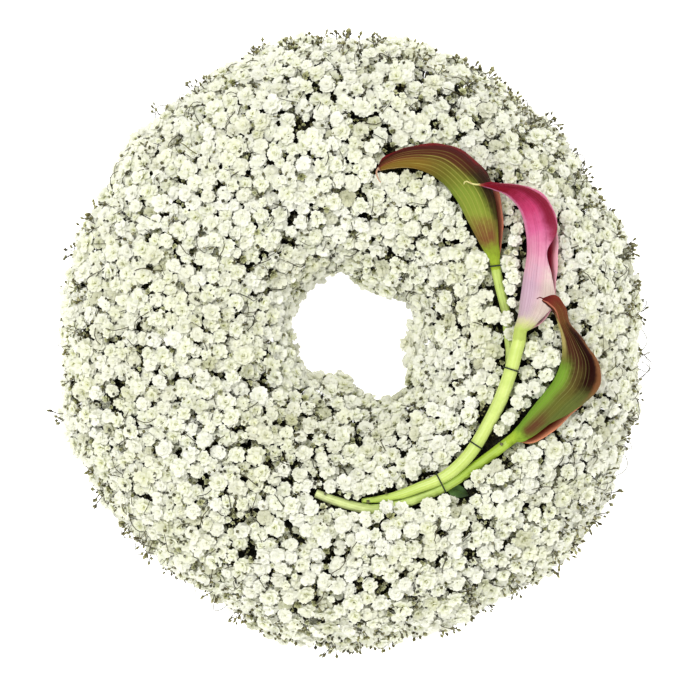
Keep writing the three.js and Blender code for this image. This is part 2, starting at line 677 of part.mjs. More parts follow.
// Sprigs stand out past the heads, where no head or sprig of another spray is in their way
function placeSprigs(heads) {
  const random = seeded(SPRIG_SEED);
  const placed = [];
  for (const spray of sprays.filter(({ row }) => row === ROWS[0] || row === ROWS[3])) {
    const outside = spray.row === ROWS[3];
    const wanted = outside ? 3 : 1;
    const range = outside ? [-12, 50] : [140, 180];
    const reach = outside ? SPRIG_REACH : 0.5 * SPRIG_REACH;
    for (let tries = 0, found = 0; tries < 200 && found < wanted; tries++) {
      const angle = THREE.MathUtils.lerp(spray.start + 3, spray.end - 3, random());
      const turn = THREE.MathUtils.lerp(range[0], range[1], random());
      const root = rootUnder(spray, angle, turn, 3);
      const tip = surfacePoint(radians(angle), radians(turn), -reach * (0.7 + 0.3 * random()));
      const line = new THREE.Line3(root, tip);
      const clear = (centre, room) =>
        line.closestPointToPoint(centre, true, new THREE.Vector3()).distanceTo(centre) > room;
      const free = heads.every((head) => clear(head.centre, head.spray === spray
        ? 0.5 * head.radius : head.radius + 1.4))
        && placed.every((other) => clear(other.tip, 9) && clear(other.root, 5));
      if (tip.z < 4 || Math.hypot(tip.x, tip.y) > TIP_REACH || !free) continue;
      placed.push({ spray, root, tip });
      found++;
    }
  }
  return placed;
}

function largest(solid) {
  return solid.decompose().sort((a, b) => b.volume() - a.volume())[0];
}

// Assembly

const wreath = new THREE.Group();

function newGroup() {
  const group = new THREE.Group();
  wreath.add(group);
  return group;
}

function addPiece(group, name, geometry, finish) {
  const mesh = new THREE.Mesh(geometry, finish);
  mesh.name = name;
  group.add(mesh);
}

const base = newGroup();
const trayOuter = FOAM_OUTER + TRAY_PLAY + TRAY_WALL;
const trayInner = FOAM_INNER - TRAY_PLAY - TRAY_WALL;
addPiece(base, 'tray_ring', turned([
  [trayInner, 0], [trayOuter, 0], [trayOuter, TRAY_HEIGHT], [trayOuter - TRAY_WALL, TRAY_HEIGHT],
  [trayOuter - TRAY_WALL, TRAY_FLOOR], [trayInner + TRAY_WALL, TRAY_FLOOR],
  [trayInner + TRAY_WALL, TRAY_HEIGHT], [trayInner, TRAY_HEIGHT],
], 36), material(COLOURS.tray, 0.45));

const channels = wasm.Manifold.union(PINS.flatMap(pinChannels));
const pegHoles = wasm.Manifold.union(sprays.map((spray) => sprayPeg(spray, PEG_PLAY)));
const foam = toSolid(turned([
  [FOAM_INNER, FOAM_BASE], [FOAM_OUTER, FOAM_BASE], [FOAM_OUTER, FOAM_TOP - FOAM_CHAMFER],
  [FOAM_OUTER - FOAM_CHAMFER, FOAM_TOP], [FOAM_INNER + FOAM_CHAMFER, FOAM_TOP],
  [FOAM_INNER, FOAM_TOP - FOAM_CHAMFER],
], 360 / GRID)).subtract(pegHoles).subtract(channels);
addPiece(base, 'foam_ring', toGeometry(foam), material(COLOURS.foam, 0.95));

const flowers = newGroup();
const heads = placeHeads(findObstacles());
const sprigs = placeSprigs(heads);
const sprayFinish = material(COLOURS.spray, 0.8);
for (const spray of sprays) {
  const parts = [toSolid(sprayCore(spray)), sprayPeg(spray, 0)];
  for (const head of heads) {
    if (head.spray === spray) parts.push(headSolid(spray, head));
  }
  for (const { spray: owner, root, tip } of sprigs) {
    if (owner === spray) parts.push(sprig(root, tip, SPRIG_GIRTH, BUD_RADIUS));
  }
  const solid = largest(wasm.Manifold.union(parts).subtract(channels));
  addPiece(flowers, spray.name, toGeometry(solid), sprayFinish);
}

CALLAS.forEach((calla, i) => {
  const group = newGroup();
  const name = `calla_${i + 1}`;
  addPiece(group, `${name}_stem`, stemBar(calla), material(COLOURS.stem, 0.5));
  addPiece(group, `${name}_spathe`, sheetSolid(spatheSheet(calla), 11, 10, SPATHE_THICKNESS),
    material(calla.colour, 0.4));
  addPiece(group, `${name}_spadix`, spadixBar(calla), material(COLOURS.spadix, 0.7));
});

const ties = newGroup();
for (const pin of PINS) addPiece(ties, pin.name, wirePin(pin), material(COLOURS.wire, 0.5, 0.6));
addPiece(ties, 'small_leaf', sheetSolid(leafSheet, 6, 2, LEAF.thickness), material(COLOURS.leaf, 0.5));

export default wreath;
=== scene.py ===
# %% [markdown]
# # A wreath of baby's breath with three calla lilies
#
# The imported model is loaded first. It is the fixed frame for all that follows: the pieces below are
# made in the same metres and in the same places, so nothing has to be fitted afterwards. The finished
# flowers have to stay within reach of it.

# %% Load the frame
import math

import bpy
import numpy as np
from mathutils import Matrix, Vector, noise
from mathutils.geometry import tessellate_polygon


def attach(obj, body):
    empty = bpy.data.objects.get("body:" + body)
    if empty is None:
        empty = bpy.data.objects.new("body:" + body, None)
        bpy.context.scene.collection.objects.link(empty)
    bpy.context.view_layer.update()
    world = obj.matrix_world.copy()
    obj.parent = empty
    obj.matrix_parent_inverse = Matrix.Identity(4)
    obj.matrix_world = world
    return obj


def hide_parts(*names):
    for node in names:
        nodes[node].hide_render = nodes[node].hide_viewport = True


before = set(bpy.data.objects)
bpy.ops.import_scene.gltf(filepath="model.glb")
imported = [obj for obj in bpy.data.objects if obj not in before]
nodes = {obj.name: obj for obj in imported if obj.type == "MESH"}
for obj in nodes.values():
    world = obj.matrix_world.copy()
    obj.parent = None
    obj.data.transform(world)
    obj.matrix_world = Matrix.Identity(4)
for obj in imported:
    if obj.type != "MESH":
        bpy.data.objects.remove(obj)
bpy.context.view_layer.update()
MM = 0.001

# %% [markdown]
# ## The camera
#
# The photograph looks straight down, and a pixel in it is 0.55 mm wide. A real camera stood a metre
# or two away, so it saw high things a little larger than low ones. The sizes of this part were all
# read at one scale, and a long lens from far above keeps that scale at every height.

# %% Camera
PIXEL = 0.55 * MM
PHOTO_SIDE = 700
RING_CENTRE = (353, 342)
CAMERA_HEIGHT = 10.0
SHARP_HEIGHT = 0.055
SENSOR = 36

camera_data = bpy.data.cameras.new("camera")
camera_data.sensor_width = SENSOR
camera_data.lens = SENSOR * (CAMERA_HEIGHT - SHARP_HEIGHT) / (PHOTO_SIDE * PIXEL)
camera_data.clip_end = 40
camera = bpy.data.objects.new("camera", camera_data)
camera.location = (
    (PHOTO_SIDE / 2 - RING_CENTRE[0]) * PIXEL,
    (RING_CENTRE[1] - PHOTO_SIDE / 2) * PIXEL,
    CAMERA_HEIGHT,
)
bpy.context.scene.collection.objects.link(camera)
bpy.context.scene.camera = camera
print(f"lens {camera_data.lens:.0f} mm")

# %% [markdown]
# ## Helpers for materials
#
# A procedural material is a small network of nodes. It could be clicked together by hand, but these
# helpers say the same in a few words. They add a node with its values, turn an everyday 0 to 255
# colour into the linear one that Blender counts with, lay a row of colours along a factor, blend two
# colours, do sums and soft steps, and start a new material. An effect that several finishes share
# becomes a node group further down.

# %% Helpers for materials
def paint(red, green, blue):
    """A colour as seen on a screen, in the linear numbers that a shader takes."""
    linear = [(c / 255 / 12.92 if c < 11 else ((c / 255 + 0.055) / 1.055) ** 2.4) for c in (red, green, blue)]
    return (*linear, 1)


def feed(tree, socket, value):
    """Gives a socket what another node puts out, or a plain value."""
    if isinstance(value, bpy.types.NodeSocket):
        tree.links.new(value, socket)
    else:
        socket.default_value = value


def node(tree, kind, inputs=None, **settings):
    """A new node with its settings, and with its inputs fed by name."""
    made = tree.nodes.new(kind)
    for key, value in settings.items():
        setattr(made, key, value)
    for key, value in (inputs or {}).items():
        feed(tree, made.inputs[key], value)
    return made


def ramp(tree, factor, stops):
    """Colours laid along a factor. Each stop is a place from 0 to 1 and its colour."""
    made = node(tree, "ShaderNodeValToRGB", {"Fac": factor})
    elements = made.color_ramp.elements
    while len(elements) < len(stops):
        elements.new(0.5)
    for element, (place, colour) in zip(elements, stops):
        element.position = place
        element.color = colour
    return made.outputs["Color"]


# A mix node has sockets for numbers, for places and for colours. These are the ones for colours.
MIX_FACTOR, MIX_FIRST, MIX_SECOND, MIX_RESULT = 0, 6, 7, 2


def blend_colours(tree, factor, first, second, how="MIX"):
    """The first colour, turned towards the second by the factor."""
    made = node(tree, "ShaderNodeMix", data_type="RGBA", blend_type=how)
    for place, value in ((MIX_FACTOR, factor), (MIX_FIRST, first), (MIX_SECOND, second)):
        feed(tree, made.inputs[place], value)
    return made.outputs[MIX_RESULT]


def calculate(tree, how, *values):
    """One sum of a maths node, such as ADD or MULTIPLY."""
    made = node(tree, "ShaderNodeMath", operation=how)
    for socket, value in zip(made.inputs, values):
        feed(tree, socket, value)
    return made.outputs[0]


def fade(tree, value, start, end, low=0.0, high=1.0):
    """A soft step from low to high, as the value goes from start to end."""
    made = node(tree, "ShaderNodeMapRange", interpolation_type="SMOOTHSTEP", clamp=True)
    for socket, given in zip(made.inputs, (value, start, end, low, high)):
        feed(tree, socket, given)
    return made.outputs[0]


def new_finish(name, **sockets):
    """A material, its tree and its shader. An underscore in a socket's name stands for a space."""
    material = bpy.data.materials.new(name)
    material.use_nodes = True
    shader = material.node_tree.nodes["Principled BSDF"]
    for key, value in sockets.items():
        shader.inputs[key.replace("_", " ")].default_value = value
    return material, material.node_tree, shader


def tones_of(tree):
    """The three numbers that each point of a mesh carries: its tones."""
    attribute = node(tree, "ShaderNodeAttribute", attribute_name="tones", attribute_type="GEOMETRY")
    split = node(tree, "ShaderNodeSeparateColor", {"Color": attribute.outputs["Color"]})
    return split.outputs[0], split.outputs[1], split.outputs[2]


def new_group(name, inputs, outputs):
    """An empty group of nodes that takes in and puts out plain values, with what it is given."""
    group = bpy.data.node_groups.new(name, "ShaderNodeTree")
    for label, default in inputs.items():
        socket = group.interface.new_socket(label, in_out="INPUT", socket_type="NodeSocketFloat")
        socket.default_value = default
    for label in outputs:
        group.interface.new_socket(label, in_out="OUTPUT", socket_type="NodeSocketFloat")
    return group, group.nodes.new("NodeGroupInput").outputs, group.nodes.new("NodeGroupOutput").inputs


def use_group(tree, group, **inputs):
    """What the group puts out for these inputs."""
    made = tree.nodes.new("ShaderNodeGroup")
    made.node_tree = group
    for key, value in inputs.items():
        feed(tree, made.inputs[key], value)
    return made.outputs


def bump(tree, height, depth):
    """A normal that makes the surface look raised by the height, which is worth depth metres at 1."""
    made = node(tree, "ShaderNodeBump", {"Height": height, "Distance": depth, "Strength": 1.0})
    return made.outputs["Normal"]


def coat(tree, shader, colour, height, depth):
    """Gives a shader its colour, and a relief from a height and its depth."""
    feed(tree, shader.inputs["Base Color"], colour)
    feed(tree, shader.inputs["Normal"], bump(tree, height, depth))


print("material helpers ready")

# %% [markdown]
# ## Two effects that many finishes share
#
# Nothing that grew is one even colour. Painted pictures could hold such spots and lines, but a rule
# is as fine as it has to be at any size. The mottle is a cloud of two sizes of noise, laid in the
# object's own space so that it stays on the flower in every view. The veins are fine lines along
# a sheet: the share across the sheet is multiplied up and folded into a row of ridges, and a little
# noise makes some of them fainter than others.

# %% Shared effects
mottle, given, out = new_group("mottle", {"Scale": 200.0, "Contrast": 1.0}, ["Value"])
place = node(mottle, "ShaderNodeTexCoord").outputs["Object"]
coarse = node(mottle, "ShaderNodeTexNoise", {"Vector": place, "Scale": given["Scale"], "Detail": 3.0})
fine_scale = calculate(mottle, "MULTIPLY", given["Scale"], 5.3)
fine = node(mottle, "ShaderNodeTexNoise", {"Vector": place, "Scale": fine_scale, "Detail": 2.0})
half_fine = calculate(mottle, "MULTIPLY", fine.outputs["Fac"], 0.5)
both = calculate(mottle, "ADD", coarse.outputs["Fac"], half_fine)
centred = calculate(mottle, "SUBTRACT", both, 0.75)
scaled = calculate(mottle, "MULTIPLY", centred, given["Contrast"])
mottle.links.new(calculate(mottle, "ADD", scaled, 0.5), out["Value"])

veins, given, out = new_group(
    "veins", {"Across": 0.0, "Along": 0.0, "Count": 14.0, "Sharpness": 6.0}, ["Line"])
counted = calculate(veins, "MULTIPLY", given["Across"], given["Count"])
place = node(veins, "ShaderNodeCombineXYZ", {
    "X": counted, "Y": calculate(veins, "MULTIPLY", given["Along"], 1.6),
})
wander = node(veins, "ShaderNodeTexNoise", {"Vector": place.outputs[0], "Scale": 1.3, "Detail": 2.0})
shifted = calculate(veins, "ADD", counted, calculate(veins, "MULTIPLY", wander.outputs["Fac"], 0.9))
centred = calculate(veins, "SUBTRACT", calculate(veins, "FRACT", shifted), 0.5)
folded = calculate(veins, "MULTIPLY", calculate(veins, "ABSOLUTE", centred), 2.0)
ridge = calculate(veins, "POWER", calculate(veins, "SUBTRACT", 1.0, folded), given["Sharpness"])
patchy = fade(veins, wander.outputs["Fac"], 0.3, 0.65)
veins.links.new(calculate(veins, "MULTIPLY", ridge, patchy), out["Line"])
print("groups:", [group.name for group in bpy.data.node_groups])

# %% [markdown]
# ## The finishes of the baby's breath
#
# A double floret is warm white, with a trace of yellow-green deep between its petals, painted darker
# towards the petals' feet as shade in the creases. Old florets turn beige. Each floret could have a
# material of its own, but thousands of them share one: each point carries three tones that the
# finish reads, namely how far out on the petal it is, how creamy this floret is, less so at the rim
# as painted light, and how far it has wilted, with deep florets darkened as painted shade. Stalks,
# cups and closed buds share another finish, from nearly black stems to olive cups with a pale tip,
# and their second tone says how dark they are. The heart under them stands for the tangle of dark
# stems that is only seen in the gaps, and it is painted nearly black as painted shade.

# %% Finishes of the baby's breath
petal_finish, tree, shader = new_finish("baby_breath_petals", Roughness=0.62, IOR=1.38, Sheen_Weight=0.2)
outward, cream_and_rim_light, wilt_and_deep_shade = tones_of(tree)
# Yellow-green and darker towards the petals' feet: partly the floret's own green eye, partly painted shade in
# the creases.
colour = ramp(tree, outward, [
    (0.0, paint(108, 112, 46)), (0.2, paint(168, 172, 104)), (0.4, paint(216, 218, 168)),
    (0.62, paint(240, 242, 216)), (1.0, paint(246, 246, 234)),
])
colour = blend_colours(tree, calculate(tree, "MULTIPLY", cream_and_rim_light, 0.4), colour, paint(214, 213, 166))
# Wilting turns a floret beige, and the same tone darkens deep florets as painted shade.
colour = blend_colours(tree, wilt_and_deep_shade, colour, paint(166, 166, 108), "MULTIPLY")
cloud = use_group(tree, mottle, Scale=700.0, Contrast=0.8)["Value"]
colour = blend_colours(tree, fade(tree, cloud, 0.55, 0.95, 0.0, 0.35), colour, paint(214, 212, 184))
coat(tree, shader, colour, cloud, 0.00012)

green_finish, tree, shader = new_finish("baby_breath_stems_and_buds", Roughness=0.55)
outward, dark, _ = tones_of(tree)
colour = ramp(tree, outward, [
    (0.0, paint(50, 42, 26)), (0.3, paint(96, 88, 50)), (0.55, paint(134, 132, 76)),
    (0.8, paint(180, 180, 132)), (1.0, paint(224, 222, 192)),
])
cloud = use_group(tree, mottle, Scale=420.0, Contrast=1.2)["Value"]
colour = blend_colours(tree, cloud, colour, paint(206, 196, 150), "MULTIPLY")
colour = blend_colours(tree, dark, colour, paint(30, 30, 16))
coat(tree, shader, colour, cloud, 0.00015)

# Its nearly black colour is painted shade of the deep gaps between the stems.
heart_shade_finish, tree, shader = new_finish("stem_heart_painted_shade", Roughness=0.95)
cloud = use_group(tree, mottle, Scale=260.0, Contrast=2.2)["Value"]
colour = ramp(tree, cloud, [(0.2, paint(14, 15, 8)), (0.6, paint(36, 36, 18)), (0.9, paint(78, 74, 42))])
coat(tree, shader, colour, cloud, 0.0012)
BLOOM_FINISHES = [petal_finish, green_finish, heart_shade_finish]
PETALS, GREENS, HEART = range(3)
print("finishes:", [finish.name for finish in BLOOM_FINISHES])

# %% [markdown]
# ## Meshes from arrays
#
# With about four thousand florets, adding vertices one at a time would take minutes. Whole arrays
# of points and triangles are handed to Blender at once instead. A model, here, is a bundle of
# points in millimetres, triangles, a finish for each triangle and the tones of each point.

# %% Meshes from arrays
ASLANT = (0.31, 0.94, 0.12)


def model(points, triangles, finish=0, tones=(0.0, 0.0, 0.0)):
    """A bundle of arrays. Finish and tones are the same for all, or given one by one."""
    points = np.asarray(points, float).reshape(-1, 3)
    triangles = np.asarray(triangles, int).reshape(-1, 3)
    return {
        "points": points,
        "triangles": triangles,
        "finish": np.broadcast_to(np.asarray(finish), len(triangles)).copy(),
        "tones": np.broadcast_to(np.asarray(tones, float), (len(points), 3)).copy(),
    }


def join(models):
    """Several models as one."""
    starts = np.cumsum([0] + [len(m["points"]) for m in models[:-1]])
    return {
        "points": np.concatenate([m["points"] for m in models]),
        "triangles": np.concatenate([m["triangles"] + start for m, start in zip(models, starts)]),
        "finish": np.concatenate([m["finish"] for m in models]),
        "tones": np.concatenate([m["tones"] for m in models]),
    }


def to_object(name, made, finishes):
    """Hands a model to Blender as an object of the scene."""
    mesh = bpy.data.meshes.new(name)
    points, triangles = made["points"] * MM, made["triangles"]
    mesh.vertices.add(len(points))
    mesh.vertices.foreach_set("co", points.astype(np.float32).ravel())
    mesh.loops.add(3 * len(triangles))
    mesh.loops.foreach_set("vertex_index", triangles.astype(np.int32).ravel())
    mesh.polygons.add(len(triangles))
    mesh.polygons.foreach_set("loop_start", np.arange(0, 3 * len(triangles), 3, dtype=np.int32))
    mesh.polygons.foreach_set("material_index", made["finish"].astype(np.int32))
    mesh.polygons.foreach_set("use_smooth", np.full(len(triangles), True))
    mesh.update()
    colours = np.ones((len(points), 4), np.float32)
    colours[:, :3] = made["tones"]
    mesh.color_attributes.new("tones", "FLOAT_COLOR", "POINT").data.foreach_set("color", colours.ravel())
    for finish in finishes:
        mesh.materials.append(finish)
    made_object = bpy.data.objects.new(name, mesh)
    bpy.context.scene.collection.objects.link(made_object)
    return made_object


def unit(vectors):
    """The same directions, each with a length of one."""
    return vectors / np.linalg.norm(vectors, axis=-1, keepdims=True)


def grid_faces(rows, columns, closed=False, first=0):
    """Triangles of a grid of points, rows by columns; closed joins the last column to the first."""
    made = []
    for row in range(rows - 1):
        for column in range(columns if closed else columns - 1):
            a = first + row * columns + column
            b = first + row * columns + (column + 1) % columns
            made += [(a, b, b + columns), (a, b + columns, a + columns)]
    return np.array(made)


def grid_rim(rows, columns):
    """The points round the edge of such a grid, in order."""
    rim = [i * columns for i in range(rows)] + [(rows - 1) * columns + j for j in range(1, columns)]
    rim += [i * columns + columns - 1 for i in range(rows - 2, -1, -1)]
    return rim + list(range(columns - 2, 0, -1))


def tube(line, radii, sides, finish=0, tones=(0, 0, 0), closed=True):
    """A round bar along a line of points, closed at both ends or open where its ends are hidden."""
    line = np.asarray(line, float)
    radii = np.broadcast_to(radii, len(line))
    ahead = unit(np.gradient(line, axis=0))
    side = np.cross(ahead[0], ASLANT)
    rings = []
    for point, tangent, radius in zip(line, ahead, radii):
        side = unit(side - tangent * side.dot(tangent))
        other = np.cross(tangent, side)
        turns = np.arange(sides) * 2 * math.pi / sides
        rings.append(point + radius * (np.cos(turns)[:, None] * side + np.sin(turns)[:, None] * other))
    if not closed:
        return model(np.concatenate(rings), grid_faces(len(line), sides, closed=True), finish, tones)
    points = np.concatenate(rings + [line[:1], line[-1:]])
    last = len(points) - 1
    caps = []
    for i in range(sides):
        j = (i + 1) % sides
        caps += [(last - 1, j, i), (last, last - 1 - sides + i, last - 1 - sides + j)]
    faces = np.concatenate([grid_faces(len(line), sides, closed=True), np.array(caps)])
    return model(points, faces, finish, tones)


print("mesh helpers ready")

# %% [markdown]
# ## The surface that the florets stand on
#
# Seen from above, the wreath is a ring that is not quite round, and its hole is a soft polygon.
# Cut through, the flower mass is an ellipse standing on the foam. Two angles name any place on it:
# one round the ring, and one round the section, the turn, from the rim over the top to the hole.
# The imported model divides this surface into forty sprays, and each is replaced by a bunch of its own.

# %% Surface of the flower mass
MASS_MIDDLE, MASS_RISE = 30, 48
# A place near the rim stands for a larger patch of the surface than one near the hole, and none for
# a larger one than this.
LARGEST_PATCH = 165 * 63
# A side's mean radius, then its waves: size in millimetres, times round the ring, shift in degrees.
OUTER_SIDE = 162, [(2, 2, 160), (1.8, 3, 39)]
HOLE_SIDE = 37, [(2.2, 1, -69), (2.4, 2, 86), (1.4, 4, -127)]
ROWS = {
    # sprays in the row, turn from and to, angle where the first one begins
    "spray_hole": (8, 142, 214, 0), "spray_inner_crown": (8, 90, 142, 15),
    "spray_outer_crown": (12, 38, 90, 0), "spray_rim": (12, -34, 38, 15),
}


def wave(angle, times, shift):
    """A wave that goes so many times round the ring, shifted by some degrees."""
    return np.cos(np.radians(times * np.asarray(angle) + shift))


def add_waves(angle, mean, waves):
    """A mean with several waves added to it."""
    total = mean
    for size, times, shift in waves:
        total = total + size * wave(angle, times, shift)
    return total


def ring_sides(angle):
    """Outer radius of the ring and radius of its hole, at an angle."""
    return add_waves(angle, *OUTER_SIDE), add_waves(angle, *HOLE_SIDE)


def on_mass(angle, turn, lift):
    """Points at a height over the surface of the flowers, and the surface's outward direction."""
    outer, hole = ring_sides(angle)
    middle, half, rise = (outer + hole) / 2, (outer - hole) / 2, MASS_RISE
    angle, turn = np.radians(angle), np.radians(turn)
    radius = middle + (half + lift) * np.cos(turn)
    points = np.stack([radius * np.cos(angle), radius * np.sin(angle),
                       MASS_MIDDLE + (rise + lift) * np.sin(turn)], -1)
    out, up = np.cos(turn) / half, np.sin(turn) / rise
    return points, unit(np.stack([out * np.cos(angle), out * np.sin(angle), up], -1))


def spray_names(angle, turn):
    """The spray that each place belongs to."""
    names = np.full(len(angle), "", dtype="U24")
    for row, (count, low, high, phase) in ROWS.items():
        inside = (turn >= low) & (turn < high)
        number = ((np.asarray(angle) - phase) % 360 // (360 / count)).astype(int) + 1
        for i in np.nonzero(inside)[0]:
            names[i] = f"{row}_{number[i]:02d}"
    return names


def draw_places(rng, count, low, high):
    """Random places, evenly spread over the surface between two turns."""
    angle, turn = rng.uniform(0, 360, 4 * count), rng.uniform(low, high, 4 * count)
    outer, hole = ring_sides(angle)
    half = (outer - hole) / 2
    sin, cos = np.sin(np.radians(turn)), np.cos(np.radians(turn))
    patch = ((outer + hole) / 2 + half * cos) * np.hypot(half * sin, MASS_RISE * cos)
    kept = np.nonzero(rng.uniform(0, LARGEST_PATCH, 4 * count) < patch)[0][:count]
    return angle[kept], turn[kept]


print("ring from", ring_sides(0)[1], "to", ring_sides(0)[0], "mm at its right side")

# %% [markdown]
# ## One petal
#
# A petal of baby's breath is a small paddle with a notch in its end. It could be modelled by hand
# and bent with a modifier, but nine points worked out by a rule are enough for it: one where it is
# held, three at its shoulders and five round the notched end. The petals further in show less, so a
# plain end does for them, and a closed floret's petals come to a point. Sizes are in parts of the
# floret's radius.

# %% Petals
# For each petal: how far out its points are, how far to the side, and its triangles.
FULL_PETAL = (
    np.array([0.10, 0.54, 0.52, 0.54, 0.84, 1.0, 0.91, 1.0, 0.84]),
    np.array([0.0, -0.4, 0.0, 0.4, -0.5, -0.3, 0.0, 0.3, 0.5]),
    [(0, 1, 2), (0, 2, 3), (1, 4, 5), (1, 5, 2), (2, 5, 6), (2, 6, 7), (2, 7, 3), (3, 7, 8)],
)
PLAIN_PETAL = (
    np.array([0.1, 0.64, 0.58, 0.64, 1.0, 1.0]),
    np.array([0.0, -0.46, 0.0, 0.46, -0.3, 0.3]),
    [(0, 1, 2), (0, 2, 3), (1, 4, 2), (2, 4, 5), (2, 5, 3)],
)
POINTED_PETAL = (
    np.array([0.1, 0.62, 0.56, 0.62, 1.0]),
    np.array([0.0, -0.48, 0.0, 0.48, 0.0]),
    [(0, 1, 2), (0, 2, 3), (1, 4, 2), (2, 4, 3)],
)


def petal(rng, shape, length, width, foot, rise, curl, azimuth, tones):
    """A petal that leaves the middle at the angle rise and bends outward by the angle curl."""
    along, across, faces = shape
    slope = np.radians(rise - curl * along)
    out = length * along * np.cos(slope)
    up = foot + length * along * np.sin(slope)
    side = width * across * rng.uniform(0.85, 1.15)
    up += 0.4 * width * np.abs(across) ** 1.5 + rng.normal(0, 0.016, len(along)) * length
    cos, sin = math.cos(azimuth), math.sin(azimuth)
    points = np.stack([out * cos - side * sin, out * sin + side * cos, up], 1)
    inner, outer = tones
    tones = np.stack([inner + (outer - inner) * along, 0 * along, 0 * along], 1)
    return model(points, faces, PETALS, tones)


def whorl(rng, shape, count, length, width, foot, rise, curl, start, tones):
    """A ring of petals, each a little longer, steeper or more curled than the next."""
    made = []
    for i in range(count):
        azimuth = start + 2 * math.pi * (i + rng.uniform(-0.22, 0.22)) / count
        made.append(petal(rng, shape, length * rng.uniform(0.84, 1.1), width, foot,
                          rise + rng.normal(0, 10), curl + rng.normal(0, 13), azimuth, tones))
    return made


print("petals of", [len(shape[0]) for shape in (FULL_PETAL, PLAIN_PETAL, POINTED_PETAL)], "points")

# %% [markdown]
# ## One floret
#
# An open floret is five rings of petals, flat on the outside and upright in the middle, over a
# small green cup and a stalk. A loose one has four rings, a deep one three and no cup, because only
# its petals are seen in the gaps, and half-open and tight ones stand nearly upright in a larger
# cup. Each floret could be drawn anew, but a real spray is a mass of near repeats. So several of
# each kind are drawn at random once, and then set out again and again, turned and tilted.

# %% Florets
WIDE_CUP = 0.4


def cup_and_stalk(rng, cup, depth, stalk):
    """A rounded cup for a floret that is still closed, a plain cone for one that hides it."""
    if cup > WIDE_CUP:
        made = tube([(0, 0, depth), (0, 0, depth * 0.45), (0, 0, 0)], [0.08, cup, cup * 0.75], 5, GREENS,
                    (0.55, 0, 0), False)
    else:
        made = tube([(0, 0, depth), (0, 0, 0)], [0.08, cup], 4, GREENS, (0.62, 0, 0), False)
    line = [(0, 0, depth * 0.9), (*rng.uniform(-0.25, 0.25, 2), depth - stalk)]
    return [made, tube(line, [0.055, 0.06], 3, GREENS, (0.35, 0, 0), False)]


# For each whorl: petals, their length and width, height of their feet, rise and curl in degrees.
OPEN_WHORLS = [(9, 1.0, 0.78, -0.10, 10, 22), (7, 0.86, 0.74, -0.05, 26, 26), (6, 0.68, 0.62, 0.0, 42, 30),
               (5, 0.48, 0.48, 0.02, 58, 28), (3, 0.30, 0.36, 0.05, 76, 20)]
LOOSE_WHORLS = [(8, 1.0, 0.78, -0.10, 7, 17), (7, 0.82, 0.68, -0.05, 22, 22), (6, 0.6, 0.52, 0.0, 36, 26),
                (4, 0.4, 0.4, 0.02, 52, 24)]
HALF_OPEN_WHORLS = [(6, 1.15, 0.66, -0.2, 52, 4), (6, 1.05, 0.55, -0.15, 64, 6), (5, 0.85, 0.45, -0.1, 76, 6)]
TIGHT_WHORLS = [(5, 1.25, 0.7, -0.3, 68, -8), (4, 1.15, 0.5, -0.25, 80, -4)]
DEEP_WHORLS = [(6, 1.0, 0.95, -0.1, 14, 20), (5, 0.76, 0.76, 0.0, 38, 26), (3, 0.46, 0.5, 0.05, 66, 24)]


def floret(seed, whorls, full, inner, outer, cup=0.34, depth=-0.62, stalk=1.7, other=PLAIN_PETAL):
    """One floret. The first whorls, as many as full, get notched petals, and the rest the other shape.
    Inner and outer are the ranges of the tone at the petals' two ends."""
    rng = np.random.default_rng(seed)
    tones = (rng.uniform(*inner), rng.uniform(*outer))
    upright, long = rng.uniform(-6, 9), rng.uniform(0.92, 1.08)
    made = []
    for i, (count, length, width, foot, rise, curl) in enumerate(whorls):
        made += whorl(rng, FULL_PETAL if i < full else other, count, length * long, width, foot,
                      rise + upright, curl, i * 0.4 + rng.uniform(0, 1), tones)
    return join(made + (cup_and_stalk(rng, cup, depth, stalk) if cup else []))


FLORETS = {
    "open": [floret(seed, OPEN_WHORLS, 1, (0.0, 0.8), (1, 1)) for seed in range(110, 120)],
    "loose": [floret(seed, LOOSE_WHORLS, 1, (0.0, 0.8), (0.9, 1)) for seed in range(21, 27)],
    "deep": [floret(seed, DEEP_WHORLS, 0, (-0.2, 0.6), (0.7, 1), cup=0) for seed in range(61, 65)],
    "half": [floret(seed, HALF_OPEN_WHORLS, 0, (-0.4, 0.1), (0.6, 1.0), cup=0.55, depth=-0.8, stalk=2.6,
                    other=POINTED_PETAL) for seed in range(31, 37)],
    "tight": [floret(seed, TIGHT_WHORLS, 0, (-0.5, 0.0), (0.15, 0.7), cup=0.62, depth=-0.9, stalk=3.2,
                     other=POINTED_PETAL) for seed in range(41, 47)],
}
for kind, made in FLORETS.items():
    print(kind, "floret:", len(made), "drawn,", len(made[0]["triangles"]), "triangles each")

# %% [markdown]
# ## Buds on forked stalks
#
# Between the florets, and all round the rim, stand the wiry stalks that carry closed buds. Each is
# a thin stem that forks twice, with an oval bud at every end. A lone bud is the same on one short
# fork, with a plumper bud. Bare stalks also arch from floret to floret. Hair curves would be an
# easy way to make them, but they are lost on export, so each stalk is a three-sided bar. A few of
# each are drawn once and set out many times, as the florets are.

# %% Sprigs of buds
BUD_FACES = [face for i, j in ((0, 1), (1, 2), (2, 3), (3, 0)) for face in ((4, j, i), (5, i, j))]


def bud(foot, ahead, length, girth, tone):
    """An oval bud: four points round its middle and one at each end."""
    side = unit(np.cross(ahead, ASLANT))
    other = np.cross(ahead, side)
    middle = foot + ahead * length * 0.5
    points = [middle + girth * side, middle + girth * other, middle - girth * side, middle - girth * other,
              foot - ahead * length * 0.1, foot + ahead * length]
    return model(points, BUD_FACES, GREENS, [(tone, 0, 0)] * 4 + [(tone - 0.15, 0, 0), (tone + 0.15, 0, 0)])


